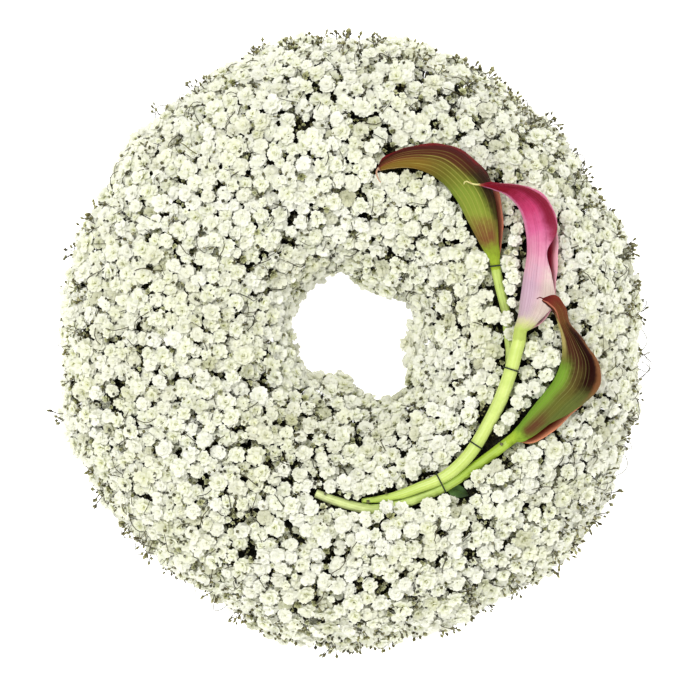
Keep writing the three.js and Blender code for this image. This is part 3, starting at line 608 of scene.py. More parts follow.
def sprig(seed, forks, twigs, spread, plump=1.0):
    """A stalk with a few forks, and on each a few twigs with a bud. It stands on the origin and is one
    unit tall, with a root below."""
    rng = np.random.default_rng(seed)
    split = np.array([*rng.uniform(-0.06, 0.06, 2), rng.uniform(0.32, 0.46)])
    made = [tube([(0, 0, -0.4), split], [0.022, 0.019], 3, GREENS, (0.1, 0, 0), False)]
    start = rng.uniform(0, 7)
    for i in range(forks):
        turn = start + 2 * math.pi * i / forks + rng.uniform(-0.4, 0.4)
        lean = spread * rng.uniform(0.5, 1.2)
        ahead = unit(np.array([math.cos(turn) * lean, math.sin(turn) * lean, 1.0]))
        knee = split + ahead * rng.uniform(0.16, 0.34)
        made.append(tube([split, knee], [0.017, 0.015], 3, GREENS, (0.14, 0, 0), False))
        for _ in range(twigs):
            side = unit(ahead + rng.normal(0, 0.42, 3))
            end = knee + side * rng.uniform(0.08, 0.26)
            made.append(tube([knee, end], [0.013, 0.012], 3, GREENS, (0.18, 0, 0), False))
            made.append(bud(end, side, rng.uniform(0.12, 0.21), plump * rng.uniform(0.042, 0.072),
                            rng.uniform(0.3, 0.9)))
    return join(made)


def arching_stalk(seed):
    """A bare stalk that rises from the origin, arches over and comes down one unit away."""
    rng = np.random.default_rng(seed)
    s = np.linspace(0, 1, 7)
    line = np.stack([s, 0.12 * rng.normal() * np.sin(math.pi * s) + 0.05 * np.sin(7 * s),
                     rng.uniform(0.2, 0.42) * np.sin(math.pi * s ** rng.uniform(0.8, 1.3)) - 0.2], 1)
    return tube(line, 0.016, 3, GREENS, (rng.uniform(0.1, 0.5), 0, 0), False)


SMALL_SPRIGS = [sprig(50 + i, 2, 2, 0.5 + 0.1 * (i % 4)) for i in range(6)]
RICH_SPRIGS = [sprig(70 + i, 3, 2 + i % 2, 0.6 + 0.12 * (i % 4)) for i in range(8)]
LONE_BUDS = [sprig(30 + i, 1, 1 + i % 2, 0.3, 1.5) for i in range(8)]
ARCHES = [arching_stalk(90 + i) for i in range(8)]
for kind, drawn in (("small sprig", SMALL_SPRIGS), ("rich sprig", RICH_SPRIGS),
                    ("lone bud", LONE_BUDS), ("arching stalk", ARCHES)):
    print(f"{kind}: {len(drawn)} drawn, {[len(made['triangles']) for made in drawn]} triangles")

# %% [markdown]
# ## The lines of the callas
#
# Each calla is given by stations. A stem's say where it lies, how high over the flowers' core, and
# its radius. A spathe's give the two sides of its outline, the height of its middle, half its
# depth, and where the two edges of the rolled sheet lie round it, in degrees. A curve drawn by hand
# would do too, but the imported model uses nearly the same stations, so these finer lines run where
# its solids are. A spathe ends in a tail too thin for a solid, so its places are only here, with
# its own radius at the root.

# %% Stations of the callas
CALLAS = {
    "calla_1": {
        "stem": [[78.4, 40, 3, 2.7], [80.3, 31.4, 1.6, 2.7], [83.6, 17.6, 0.8, 2.7], [85.4, 4, 0.6, 2.7],
                 [86.4, -8, 0.6, 2.7], [85.2, -21, 0.6, 2.4]],
        "left": [[74.9, 44.4], [69.6, 53.6], [63, 66], [56.1, 78.7], [49.6, 86.6], [41.6, 92.2],
                 [33, 95.2], [23, 95.4], [15.8, 94.4], [14.2, 94.0]],
        "right": [[80.6, 45.4], [81.6, 54.4], [82.4, 66.5], [79.8, 82], [72, 94], [57, 106.6],
                  [41.5, 108.3], [26, 105.6], [15.2, 99.2], [13.3, 95.6]],
        "height": [76.6, 77.5, 79.5, 81, 81.5, 81, 80, 78.5, 77, 76],
        "depth": [2.9, 5, 7, 8, 8, 7, 5, 3.4, 1.6, 0.6],
        "edges": [[8, 352], [44, 356], [48, 356], [42, 350], [12, 320], [8, 280], [6, 240], [6, 205],
                  [10, 180], [20, 160]],
        "spadix_to": 0.42,
        "tail": [[14, 95.4, 77.4], [13.1, 94, 78.4], [12.9, 92.6, 79.4], [13.2, 91, 80.4],
                 [14, 89.2, 81.2], [15.2, 87.5, 81.6]],
        "tail_radius": 0.62,
    },
    "calla_2": {
        "stem": [[91.2, 1.5, 6.6, 3.7], [89.3, -5.4, 7, 3.8], [86.6, -15.4, 7, 3.8], [80.7, -32, 3.4, 3.8],
                 [73.9, -45.4, 2.6, 3.7], [65, -60, 4, 3.6], [55.7, -69.8, 5.6, 3.4],
                 [47.6, -75.2, 5.6, 3.2], [36.8, -79.6, 5.2, 2.9], [25.9, -83.6, 4.2, 2.5],
                 [16, -86, 2.6, 2], [5, -87.2, 0.8, 1.4]],
        "left": [[88.2, 7.2], [90.4, 14], [91.8, 24.6], [93.6, 37], [95.4, 50], [94.4, 62], [91.2, 72.5],
                 [85, 79.6], [77.4, 83.4], [71.6, 85.2], [68.4, 85.9]],
        "right": [[95.6, 5.8], [104, 10.8], [110.2, 21], [111.6, 36], [112, 49], [112.6, 63],
                  [108, 76.2], [97, 84.6], [81, 86.9], [72.2, 86.8], [68.4, 86.6]],
        "height": [80.6, 79.6, 79, 79.6, 80.4, 81.4, 83, 86, 89.6, 91.8, 92.4],
        "depth": [3.7, 5, 6, 6.6, 6.6, 6.6, 6, 4.6, 2.8, 1.2, 0.6],
        "edges": [[8, 352], [44, 356], [16, 352], [46, 354], [72, 352], [24, 330], [8, 285], [6, 240],
                  [6, 205], [10, 180], [20, 160]],
        "spadix_to": 0.45,
        "tail": [[69.4, 86.3, 92.4], [67.4, 86.3, 92.6], [65.4, 86.7, 92.8], [63.6, 87.4, 93],
                 [62.2, 88, 93], [61, 87.5, 92.8], [60.8, 86.5, 92.4]],
        "tail_radius": 0.55,
    },
    "calla_3": {
        "stem": [[84.6, -55.4, 2.8, 2.8], [79, -59.8, 1.8, 2.9], [70, -66.4, 0.8, 2.9],
                 [59.1, -74, 1.6, 2.9], [48, -80.7, 1.6, 2.9], [36.9, -85.2, 0.8, 2.8],
                 [25.9, -89, 0.6, 2.8], [11, -91.9, 0.6, 2.8], [-0.6, -89.9, 0.6, 2.7],
                 [-12.1, -86.4, 0.6, 2.6], [-20.4, -83.1, 0.6, 2.4]],
        "left": [[87, -49.8], [91.4, -44.8], [97.4, -37], [103.8, -29], [110.2, -20.4], [114.2, -10],
                 [114.4, 0.6], [112, 11], [109.2, 17.4], [105.8, 20.6], [103.4, 22.6]],
        "right": [[90, -55], [98.6, -55.6], [110.4, -48.6], [122.6, -37.4], [133.4, -27.4],
                  [135.2, -13.6], [127.6, -0.8], [119, 9.8], [116, 19.6], [109.4, 25.6], [104.2, 24.2]],
        "height": [75.4, 75.8, 76.4, 76.6, 77, 79, 82, 86, 89, 90.4, 90.6],
        "depth": [2.9, 5, 7, 8, 8, 7, 5.6, 4, 2.6, 1.4, 0.6],
        "edges": [[8, 352], [60, 356], [62, 356], [24, 348], [10, 318], [8, 295], [6, 265], [6, 235],
                  [6, 205], [10, 180], [20, 160]],
        "spadix_to": 0.4,
        "tail": [[104.4, 23.6, 90.6], [103.4, 24.1, 90.8], [102.4, 24.4, 91], [101.3, 24, 91.2],
                 [100.8, 23.4, 91.2]],
        "tail_radius": 0.42,
    },
}
NECK_SHARE = 0.04
NECK_RADII = [1.5, 1.7]
CORE_DEPTH = 8


def smooth_line(stations, shares):
    """A curve that runs smoothly through the stations, at shares counted from the first to the last."""
    stations = np.asarray(stations, float)
    last = len(stations) - 1
    at = np.clip(np.asarray(shares, float), 0, 1) * last
    i = np.minimum(at.astype(int), last - 1)
    t = (at - i)[:, None]
    row = np.concatenate([[2 * stations[0] - stations[1]], stations, [2 * stations[-1] - stations[-2]]])
    a, b, c, d = row[i], row[i + 1], row[i + 2], row[i + 3]
    gap = [np.sqrt(np.linalg.norm(q - p, axis=1, keepdims=True)) for p, q in ((a, b), (b, c), (c, d))]
    gap = [np.where(g < 1e-4, 1.0, g) for g in gap]
    leave = ((b - a) / gap[0] - (c - a) / (gap[0] + gap[1]) + (c - b) / gap[1]) * gap[1]
    arrive = ((c - b) / gap[1] - (d - b) / (gap[1] + gap[2]) + (d - c) / gap[2]) * gap[1]
    return (b + leave * t + (3 * (c - b) - 2 * leave - arrive) * t ** 2
            + (2 * (b - c) + leave + arrive) * t ** 3)


def core_top(x, y):
    """Height of the sprays' dense core, on which the callas lie."""
    outer, hole = ring_sides(np.degrees(np.arctan2(y, x)))
    middle, half = (outer + hole) / 2, (outer - hole) / 2 - CORE_DEPTH
    across = (np.hypot(x, y) - middle) / half
    return MASS_MIDDLE + (MASS_RISE - CORE_DEPTH) * np.sqrt(np.maximum(0, 1 - across ** 2))


def spathe_sides(calla, shares):
    """Middle line, half width and roll (half depth and the two edges) of a spathe."""
    height = np.array(calla["height"])[:, None]
    left = smooth_line(np.hstack([calla["left"], height]), shares)
    right = smooth_line(np.hstack([calla["right"], height]), shares)
    roll = smooth_line(np.hstack([np.array(calla["depth"])[:, None], calla["edges"]]), shares)
    return (left + right) / 2, (right - left) / 2, roll


def stem_stations(calla):
    """Middle points and radii of a stem's stations. The first two lie inside the spathe's neck."""
    neck = spathe_sides(calla, [NECK_SHARE, 0.0])[0]
    rows = np.array(calla["stem"])
    points = np.column_stack([rows[:, :2], core_top(rows[:, 0], rows[:, 1]) + rows[:, 2] + rows[:, 3]])
    return np.concatenate([neck, points]), np.concatenate([NECK_RADII, rows[:, 3]])


def run_along(line):
    """The way run along a line, from its start to each of its points."""
    return np.concatenate([[0], np.cumsum(np.linalg.norm(np.diff(line, axis=0), axis=1))])


def stem_line(calla, steps):
    """Evenly spaced points along a stem, neck first, with the radius at each."""
    points, radii = stem_stations(calla)
    dense = np.linspace(0, 1, 801)
    run = run_along(smooth_line(points, dense))
    shares = np.interp(np.linspace(0, run[-1], steps), run, dense)
    return smooth_line(points, shares), np.interp(shares, np.linspace(0, 1, len(radii)), radii)


for name, calla in CALLAS.items():
    line, radii = stem_line(calla, 60)
    print(f"{name}: stem {run_along(line)[-1]:.0f} mm long, {2 * radii.max():.1f} mm thick")

# %% [markdown]
# ## The rolled sheet of a spathe
#
# A calla's spathe is one leaf rolled into a trumpet. It could be sculpted, but a sheet made from
# numbers can follow the photograph's outline exactly: one share runs along it from neck to tip, the
# other across it from edge to edge round the roll. A collar of the same sheet hugs the stem below
# the neck. The edges flare a little and ripple, as real ones do, and grow thin towards the lip.

# %% Sheet of a spathe
COLLAR = 7.0
MARGIN = 0.13
LIP_FROM = 285


def spathe_sheet(calla, along, across, flare, ripple):
    """Outside points of the sheet for two lists of shares, and how far right each lies in its outline."""
    middle, half, roll = spathe_sides(calla, along)
    share = np.asarray(along)[:, None]
    degrees = roll[:, 1:2] + (roll[:, 2:3] - roll[:, 1:2]) * across[None, :]
    angle = np.radians(degrees)
    mouth = np.clip((roll[:, 2:3] - LIP_FROM) / 55, 0, 1) * np.clip(share / 0.07, 0, 1)
    lip = mouth * np.clip((degrees - LIP_FROM) / np.maximum(roll[:, 2:3] - LIP_FROM, 30), 0, 1)
    sine = np.sin(angle) * (1 - lip) ** 1.5
    up = np.array([0.0, 0.0, 1.0])
    points = middle[:, None] + half[:, None] * np.cos(angle)[..., None] + up * (roll[:, :1] * sine)[..., None]
    outward = unit(half)[:, None] * np.cos(angle)[..., None] + up * np.sin(angle)[..., None]
    edge = np.clip(1 - np.minimum(across, 1 - across) / MARGIN, 0, 1) ** 2
    open_part = np.clip((share - 0.12) / 0.3, 0, 1) * np.clip((1 - share) / 0.15, 0, 1)
    wavy = ripple * (np.sin(share * 31 + across * 9) + 0.6 * np.sin(share * 57 + 2))
    return points + outward * (edge * open_part * (flare + wavy))[..., None], (1 + np.cos(angle)) / 2


def collar_rows(calla, first_row, steps=7):
    """Rows that lead from the stem up into the first row of a spathe."""
    line, radii = stem_line(calla, 400)
    run = run_along(line)
    start = run[np.argmin(np.linalg.norm(line - first_row.mean(axis=0), axis=1))]
    rows = []
    for s in np.linspace(0, 1, steps, endpoint=False):
        at = start + COLLAR * (1 - s)
        centre = np.array([np.interp(at, run, line[:, k]) for k in range(3)])
        radius = np.interp(at, run, radii) - 0.12 + 0.7 * s
        spoke = first_row - first_row.mean(axis=0)
        ease = s * s * (3 - 2 * s)
        rows.append((centre + unit(spoke) * radius) * (1 - ease) + first_row * ease)
    return np.array(rows)


def tail_model(calla):
    """The thin curled tail that a spathe's tip runs out into."""
    line = smooth_line(calla["tail"], np.linspace(0, 1, 24))
    return tube(line, calla["tail_radius"] * np.linspace(1, 0.5, 24), 8, 0, (1.0, 0.5, 0))


def spathe_model(calla, thickness=0.6, flare=0.5, ripple=0.38, rows=88, columns=44):
    """The whole spathe. Its tones say how far along a point is, how far right, and if it is inside."""
    along, across = np.linspace(0, 1, rows), np.linspace(0, 1, columns)
    sheet, right = spathe_sheet(calla, along, across, flare, ripple)
    collar = collar_rows(calla, sheet[0])
    sheet = np.concatenate([collar, sheet])
    right = np.concatenate([np.repeat(right[:1], len(collar), axis=0), right])
    along = np.concatenate([np.linspace(-0.06, -0.005, len(collar)), along])
    outward = unit(np.cross(np.gradient(sheet, axis=0), np.gradient(sheet, axis=1)))
    edge = np.clip(np.minimum(across, 1 - across) / 0.06, 0, 1)[None, :]
    tip = np.clip((1 - along) / 0.08, 0, 1)[:, None]
    depth = thickness * (0.3 + 0.7 * np.sqrt(edge * tip))
    inner = sheet - outward * depth[..., None]
    rows, size = len(sheet), len(sheet) * columns
    outside, inside = grid_faces(rows, columns)[:, ::-1], grid_faces(rows, columns, first=size)
    rim = grid_rim(rows, columns)
    sides = []
    for a, b in zip(rim, rim[1:] + rim[:1]):
        sides += [(b, a, size + b), (size + b, a, size + a)]
    tones = np.zeros((2, rows, columns, 3))
    tones[..., 0] = along[None, :, None]
    tones[..., 1] = right[None]
    tones[1, ..., 2] = 1
    return join([model(np.concatenate([sheet, inner]).reshape(-1, 3),
                       np.concatenate([outside, inside, np.array(sides)]), 0, tones.reshape(-1, 3)),
                 tail_model(calla)])


spathes = {name: spathe_model(calla) for name, calla in CALLAS.items()}
for name, made in spathes.items():
    print(name, "spathe:", len(made["triangles"]), "triangles")

# %% [markdown]
# ## The finishes of the spathes
#
# Three callas, three colours, and one way to paint them. A few body colours run from neck to tip.
# Over them come washes, as with a broad brush: each has a colour, a strength, the stretch along
# the spathe that it covers and the stretch from its left outline to its right, all with soft ends.
# Veins and finer streaks run lengthwise. The inner face is dark, partly its own colour and partly
# painted shade under the front edge, and its lip is lighter, partly its own colour and partly painted
# light where it is lit.
# The skin is waxy, but a calla's shine is faint, so only little light is mirrored and the deep
# colours stay deep.

# %% Finishes of the spathes
def wash_mask(tree, along, right, strength, stretch, breadth):
    """Soft-ended mask: each of stretch and breadth is where it begins, is full, starts to end, ends."""
    mask = strength
    for value, (begin, full, leave, end) in ((along, stretch), (right, breadth)):
        if begin > -1:
            mask = calculate(tree, "MULTIPLY", mask, fade(tree, value, begin, full))
        if end < 2:
            mask = calculate(tree, "MULTIPLY", mask, fade(tree, value, leave, end, 1.0, 0.0))
    return mask


def spathe_finish(name, gloss, body, washes, inner, lip, veined, streaked):
    """Skin of a spathe: body colours, washes, colours of the inner face and its lip, then the veins'
    colour, strength and number, and the streaks' colour and strength."""
    vein_colour, vein_strength, count = veined
    streak_colour, streak_strength = streaked
    made, tree, shader = new_finish(name, Roughness=0.5, Specular_IOR_Level=gloss)
    along, right, inside = tones_of(tree)
    cloud = use_group(tree, mottle, Scale=110.0, Contrast=1.0)["Value"]
    shift = calculate(tree, "MULTIPLY", calculate(tree, "SUBTRACT", cloud, 0.5), 0.1)
    moved_along = calculate(tree, "ADD", along, shift)
    moved_right = calculate(tree, "ADD", right, calculate(tree, "MULTIPLY", shift, 0.9))
    colour = ramp(tree, moved_along, body)
    for wash, strength, stretch, breadth in washes:
        mask = wash_mask(tree, moved_along, moved_right, strength, stretch, breadth)
        colour = blend_colours(tree, mask, colour, wash)
    line = use_group(tree, veins, Across=right, Along=along, Count=count, Sharpness=7.0)["Line"]
    vein_mask = wash_mask(tree, along, right, vein_strength, (0.06, 0.2, 0.8, 0.94), (0.02, 0.12, 0.6, 0.86))
    colour = blend_colours(tree, calculate(tree, "MULTIPLY", line, vein_mask), colour, vein_colour)
    fine_lines = use_group(tree, veins, Across=right, Along=along, Count=count * 4.0, Sharpness=2.0)["Line"]
    darker = blend_colours(tree, 1.0, colour, streak_colour, "MULTIPLY")
    colour = blend_colours(tree, calculate(tree, "MULTIPLY", fine_lines, streak_strength), colour, darker)
    # The inner face: dark, partly its own colour and partly painted shade under the front edge; the lip
    # lighter, partly painted light where it is lit.
    within = blend_colours(tree, fade(tree, right, 0.8, 0.97), ramp(tree, along, inner), lip)
    colour = blend_colours(tree, fade(tree, inside, 0.45, 0.55), colour, within)
    ribs = calculate(tree, "ADD", line, calculate(tree, "MULTIPLY", fine_lines, 0.5))
    coat(tree, shader, colour, ribs, 0.0002)
    tree.links.new(fade(tree, cloud, 0.2, 0.9, 0.45, 0.6), shader.inputs["Roughness"])
    return made


SPATHE_FINISHES = {
    "calla_1": spathe_finish(
        "olive_spathe_skin", gloss=0.055,
        body=[
            (0.0, paint(168, 192, 58)), (0.06, paint(146, 168, 50)), (0.2, paint(142, 154, 58)),
            (0.36, paint(124, 142, 50)), (0.5, paint(104, 100, 34)), (0.62, paint(108, 84, 34)),
            (0.8, paint(126, 66, 42)), (0.93, paint(134, 54, 46)), (1.0, paint(216, 172, 146)),
        ],
        washes=[
            # Brown shade on the right, gold flank, blush at the base, brown rim, dark red towards its
            # edge, red edge, painted shadow at the slit below the rim, pale edge on the left.
            (paint(48, 36, 13), 0.95, (0.2, 0.36, 0.92, 1.0), (0.46, 0.76, 2, 2)),
            (paint(134, 108, 38), 0.8, (0.5, 0.68, 0.88, 0.96), (-1, -1, 0.26, 0.5)),
            (paint(122, 64, 46), 0.9, (0.04, 0.14, 0.15, 0.27), (-0.6, 0.3, 0.6, 1.0)),
            (paint(88, 42, 28), 0.85, (0.4, 0.54, 0.95, 1.0), (0.4, 0.66, 2, 2)),
            (paint(72, 22, 20), 0.95, (0.36, 0.5, 0.97, 1.0), (0.68, 0.94, 2, 2)),
            (paint(120, 30, 34), 0.9, (0.2, 0.4, 2, 2), (0.92, 0.985, 2, 2)),
            # Painted shadow along the front edge at the slit.
            (paint(46, 28, 18), 0.85, (0.14, 0.24, 0.4, 0.5), (0.6, 0.8, 2, 2)),
            (paint(190, 164, 102), 0.6, (0.6, 0.72, 0.95, 1.0), (-1, -1, 0.015, 0.05)),
        ],
        inner=[(0.0, paint(86, 50, 30)), (0.1, paint(92, 36, 32)), (0.3, paint(98, 32, 36)),
               (1.0, paint(92, 28, 36))],
        lip=paint(182, 112, 86),
        veined=(paint(204, 198, 98), 0.85, 9.0), streaked=(paint(150, 160, 130), 0.45)),
    "calla_2": spathe_finish(
        "pink_spathe_skin", gloss=0.09,
        body=[
            (0.0, paint(200, 222, 112)), (0.05, paint(214, 216, 150)), (0.12, paint(216, 202, 186)),
            (0.24, paint(224, 192, 196)), (0.36, paint(226, 164, 184)), (0.48, paint(218, 106, 152)),
            (0.6, paint(196, 62, 108)), (0.74, paint(130, 12, 32)), (0.88, paint(136, 10, 28)),
            (0.94, paint(184, 100, 74)), (1.0, paint(216, 214, 140)),
        ],
        washes=[
            # Lilac on the left, cream on the right, red of the fold, deep magenta shoulder, pale rims at
            # the left and the right.
            (paint(196, 164, 186), 0.7, (0.08, 0.13, 0.26, 0.36), (-1, -1, 0.25, 0.62)),
            (paint(234, 218, 202), 0.8, (0.1, 0.17, 0.26, 0.34), (0.45, 0.75, 2, 2)),
            (paint(150, 40, 62), 0.9, (0.29, 0.37, 0.46, 0.56), (0.66, 0.9, 2, 2)),
            (paint(124, 14, 38), 0.92, (0.38, 0.54, 0.9, 0.96), (0.44, 0.76, 2, 2)),
            (paint(228, 146, 180), 0.75, (0.3, 0.46, 0.84, 0.94), (-1, -1, 0.03, 0.11)),
            (paint(226, 130, 164), 0.7, (0.3, 0.46, 0.7, 0.84), (0.93, 0.985, 2, 2)),
        ],
        inner=[(0.0, paint(130, 70, 66)), (0.14, paint(140, 50, 64)), (0.3, paint(190, 58, 94)),
               (1.0, paint(150, 30, 56))],
        lip=paint(232, 170, 182),
        veined=(paint(186, 88, 136), 0.38, 13.0), streaked=(paint(228, 178, 202), 0.6)),
    "calla_3": spathe_finish(
        "burgundy_spathe_skin", gloss=0.03,
        body=[
            (0.0, paint(172, 202, 66)), (0.07, paint(136, 172, 56)), (0.2, paint(104, 118, 46)),
            (0.38, paint(98, 89, 41)), (0.5, paint(70, 42, 27)), (0.62, paint(76, 38, 27)),
            (0.72, paint(112, 70, 38)), (0.82, paint(118, 56, 38)), (0.9, paint(124, 44, 38)),
            (1.0, paint(98, 32, 34)),
        ],
        washes=[
            # Green flank, yellow flank, dark brown shoulder, its lighter edge, blush and grey-green near
            # the base, dark stripe at the hook painted as the inner face in shade, pale line beside it, pale
            # edge below the hook.
            (paint(124, 162, 54), 1.0, (0.02, 0.1, 0.42, 0.56), (-1, -1, 0.14, 0.42)),
            (paint(152, 146, 78), 0.9, (0.46, 0.56, 0.64, 0.74), (-1, -1, 0.06, 0.22)),
            (paint(36, 8, 6), 0.97, (0.3, 0.44, 0.64, 0.74), (0.42, 0.7, 0.95, 1.0)),
            (paint(134, 86, 50), 0.8, (0.3, 0.4, 0.56, 0.66), (0.85, 0.96, 2, 2)),
            (paint(96, 46, 40), 0.9, (0.03, 0.14, 0.15, 0.3), (0.08, 0.42, 0.5, 0.92)),
            (paint(88, 104, 50), 0.5, (0.1, 0.2, 0.34, 0.44), (0.56, 0.7, 2, 2)),
            # Painted shade: the dark stripe stands for the shaded inner face beyond the hook's edge.
            (paint(52, 20, 16), 0.85, (0.7, 0.78, 2, 2), (-1, -1, 0.1, 0.2)),
            (paint(216, 130, 104), 0.8, (0.68, 0.78, 2, 2), (0.12, 0.19, 0.22, 0.3)),
            (paint(190, 172, 108), 0.9, (0.54, 0.62, 0.7, 0.76), (0.0, 0.04, 0.12, 0.2)),
        ],
        inner=[(0.0, paint(156, 96, 62)), (0.12, paint(136, 62, 42)), (0.24, paint(122, 46, 40)),
               (1.0, paint(96, 32, 32))],
        lip=paint(212, 140, 104),
        veined=(paint(172, 168, 96), 0.64, 11.0), streaked=(paint(150, 146, 130), 0.45)),
}


def calla_stem_finish(name, neck, middle, foot, ridge, shade):
    """Colours from neck to foot, with pale lines that are partly ridges and partly painted highlights,
    cloudy darker shade and a brown cut end.
    """
    made, tree, shader = new_finish(name, Roughness=0.42, Specular_IOR_Level=0.35)
    along, around, cut = tones_of(tree)
    cloud = use_group(tree, mottle, Scale=120.0, Contrast=0.9)["Value"]
    colour = ramp(tree, along, [(0.0, neck), (0.3, middle), (1.0, foot)])
    # Pale lines round the stem: partly its ridges, partly painted highlights along them.
    line = use_group(tree, veins, Across=around, Along=along, Count=12.0, Sharpness=2.2)["Line"]
    colour = blend_colours(tree, calculate(tree, "MULTIPLY", line, 0.6), colour, ridge)
    colour = blend_colours(tree, fade(tree, cloud, 0.3, 0.8, 0.3, 0.0), colour, shade)
    colour = blend_colours(tree, cut, colour, paint(112, 104, 56))
    coat(tree, shader, colour, calculate(tree, "ADD", line, cloud), 0.00012)
    return made


# Colours of neck, middle, foot, ridges and shade.
STEM_FINISHES = {
    "calla_1": calla_stem_finish("light_calla_stem", paint(190, 212, 96), paint(198, 216, 116),
                                 paint(200, 218, 122), paint(220, 232, 150), paint(150, 176, 66)),
    "calla_2": calla_stem_finish("pale_calla_stem", paint(212, 230, 120), paint(214, 230, 132),
                                 paint(190, 214, 88), paint(238, 244, 178), paint(160, 190, 66)),
    # The third stem's foot is painted very pale: a painted highlight over the shade that the florets cast on
    # its sunk end.
    "calla_3": calla_stem_finish("green_calla_stem", paint(172, 200, 66), paint(166, 194, 64),
                                 paint(244, 250, 186), paint(206, 222, 120), paint(134, 168, 42)),
}

spadix_finish, tree, shader = new_finish("spadix_pollen", Roughness=0.8)
place = node(tree, "ShaderNodeTexCoord").outputs["Object"]
grains = node(tree, "ShaderNodeTexVoronoi", {"Vector": place, "Scale": 1400.0}).outputs["Distance"]
colour = ramp(tree, grains, [(0.1, paint(238, 196, 70)), (0.6, paint(196, 132, 28))])
coat(tree, shader, colour, calculate(tree, "SUBTRACT", 1.0, grains), 0.0003)
print("spathe finishes:", [finish.name for finish in SPATHE_FINISHES.values()])

# %% [markdown]
# ## The callas
#
# Each calla is three pieces that stand for its three solids: the spathe, the stem and the spadix,
# the yellow spike inside the trumpet. A stem could be a curve with a round section, but a real one
# is not quite round and carries shallow ridges, so it is a mesh bar whose rings are pushed in and
# out. Its tones say how far along it a point is, how far round, and whether it is on the cut end.

# %% Callas
RIDGES = 7


def stem_model(calla, sides=22, steps=120):
    """A ridged stem from inside the neck of the spathe to the cut end."""
    line, radii = stem_line(calla, steps)
    made = tube(line, radii, sides)
    turn = np.tile(np.arange(sides) / sides, steps)
    step = np.repeat(np.arange(steps), sides)
    ridge = 1 + 0.018 * np.sin(turn * 2 * math.pi * RIDGES) + 0.012 * np.sin(step * 0.21)
    spokes = made["points"][:-2].reshape(steps, sides, 3) - line[:, None]
    made["points"][:-2] = (line[:, None] + spokes * ridge.reshape(steps, sides, 1)).reshape(-1, 3)
    made["tones"][:-2, 0] = np.repeat(np.linspace(0, 1, steps), sides)
    made["tones"][:-2, 1] = turn
    made["tones"][-1] = (1, 0.5, 1)
    return made


def spadix_model(calla, sides=14, steps=40):
    """The spike along the middle of the trumpet, rounded at both ends."""
    shares = np.linspace(NECK_SHARE + 0.004, calla["spadix_to"], steps)
    line = spathe_sides(calla, shares)[0]
    s = np.linspace(0, 1, steps)
    radii = 2.1 * np.minimum(1, np.sqrt(np.minimum(s / 0.12 + 0.12, (1 - s) / 0.1 + 0.02)))
    return tube(line, radii, sides)


SPATHE_SLOTS = {"calla_1": "spathe_olive", "calla_2": "spathe_pink", "calla_3": "spathe_burgundy"}
for name, calla in CALLAS.items():
    for part, made, finish, slot in (
        ("spathe", spathes[name], SPATHE_FINISHES[name], SPATHE_SLOTS[name]),
        ("stem", stem_model(calla), STEM_FINISHES[name], "calla_stem"),
        ("spadix", spadix_model(calla), spadix_finish, "spadix"),
    ):
        piece = to_object(f"{name}_{part}_fine", made, [finish])
        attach(piece, "root")
        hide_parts(f"{name}_{part}")
print("callas made")

# %% [markdown]
# ## Wire pins and the small leaf
#
# Thin dark wire holds the stems down. It is the same round bar as a stem, only thinner, bent to a
# line that is worked out from the stems. Each pin is a hairpin: over one or two stems, snug against
# them, and straight down into the foam on both sides. The fourth goes round the collar of a spathe,
# which is a little thicker than its stem. One small dark leaf shows below the stems.

# %% Wire pins and leaf
PINS = {
    "wire_pin_1": (["calla_2"], [86.4, -14.9]), "wire_pin_2": (["calla_2"], [67.5, -56.6]),
    "wire_pin_3": (["calla_2", "calla_3"], [47.9, -76.5]), "wire_pin_4": (["calla_1"], [78.3, 41.8]),
}
WIRE = 0.42
WIRE_FOOT = 35
COLLAR_SLACK = 0.6


def nearest_on_stem(calla, place):
    """The stem's middle nearest to a place, the direction that it runs in there, and its radius."""
    line, radii = stem_line(calla, 900)
    i = int(np.argmin(np.hypot(line[:, 0] - place[0], line[:, 1] - place[1])))
    ahead = (line[min(i + 1, len(line) - 1)] - line[max(i - 1, 0)]) * (1, 1, 0)
    return line[i], unit(ahead), radii[i]


def pin_line(held, place, slack):
    """The wire's line: up from the foam, over the stems that it holds, and down again."""
    first, ahead, r1 = nearest_on_stem(CALLAS[held[0]], place)
    last, _, r2 = nearest_on_stem(CALLAS[held[-1]], first)
    r1, r2 = r1 + slack, r2 + slack
    side = np.cross(ahead, (0, 0, 1))
    if (last - first) @ side < 0:
        side = -side
    apart = (last - first) @ side
    crest = math.pi / 2 + math.atan2(last[2] - first[2], apart or 1)

    def round_stem(centre, shift, radius, turn):
        """A point of the wire on a stem, turned up from the stem's side by an angle."""
        along = side * (shift + (radius + WIRE) * math.cos(turn))
        return (*(first + along)[:2], centre[2] + (radius + WIRE) * math.sin(turn))

    over = [round_stem(first, 0, r1, turn) for turn in np.linspace(math.pi, crest, 12)]
    over += [round_stem(last, apart, r2, turn) for turn in np.linspace(crest, 0, 12)[1:]]
    feet = [(*over[0][:2], WIRE_FOOT), (*over[-1][:2], WIRE_FOOT)]
    return np.array([feet[0], *over, feet[1]])


wire_finish, tree, shader = new_finish("lacquered_wire", Roughness=0.35, Metallic=0.25)
cloud = use_group(tree, mottle, Scale=900.0, Contrast=1.4)["Value"]
colour = ramp(tree, cloud, [(0.2, paint(18, 26, 18)), (0.8, paint(46, 60, 40))])
coat(tree, shader, colour, cloud, 0.00005)

for name, (held, place) in PINS.items():
    slack = COLLAR_SLACK if name == "wire_pin_4" else 0.0
    piece = to_object(f"{name}_fine", tube(pin_line(held, place, slack), WIRE, 10), [wire_finish])
    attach(piece, "root")
    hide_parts(name)

LEAF_BASE, LEAF_TIP, LEAF_HALF_WIDTH = np.array([51, -79.5]), np.array([64, -84.5]), 3.6


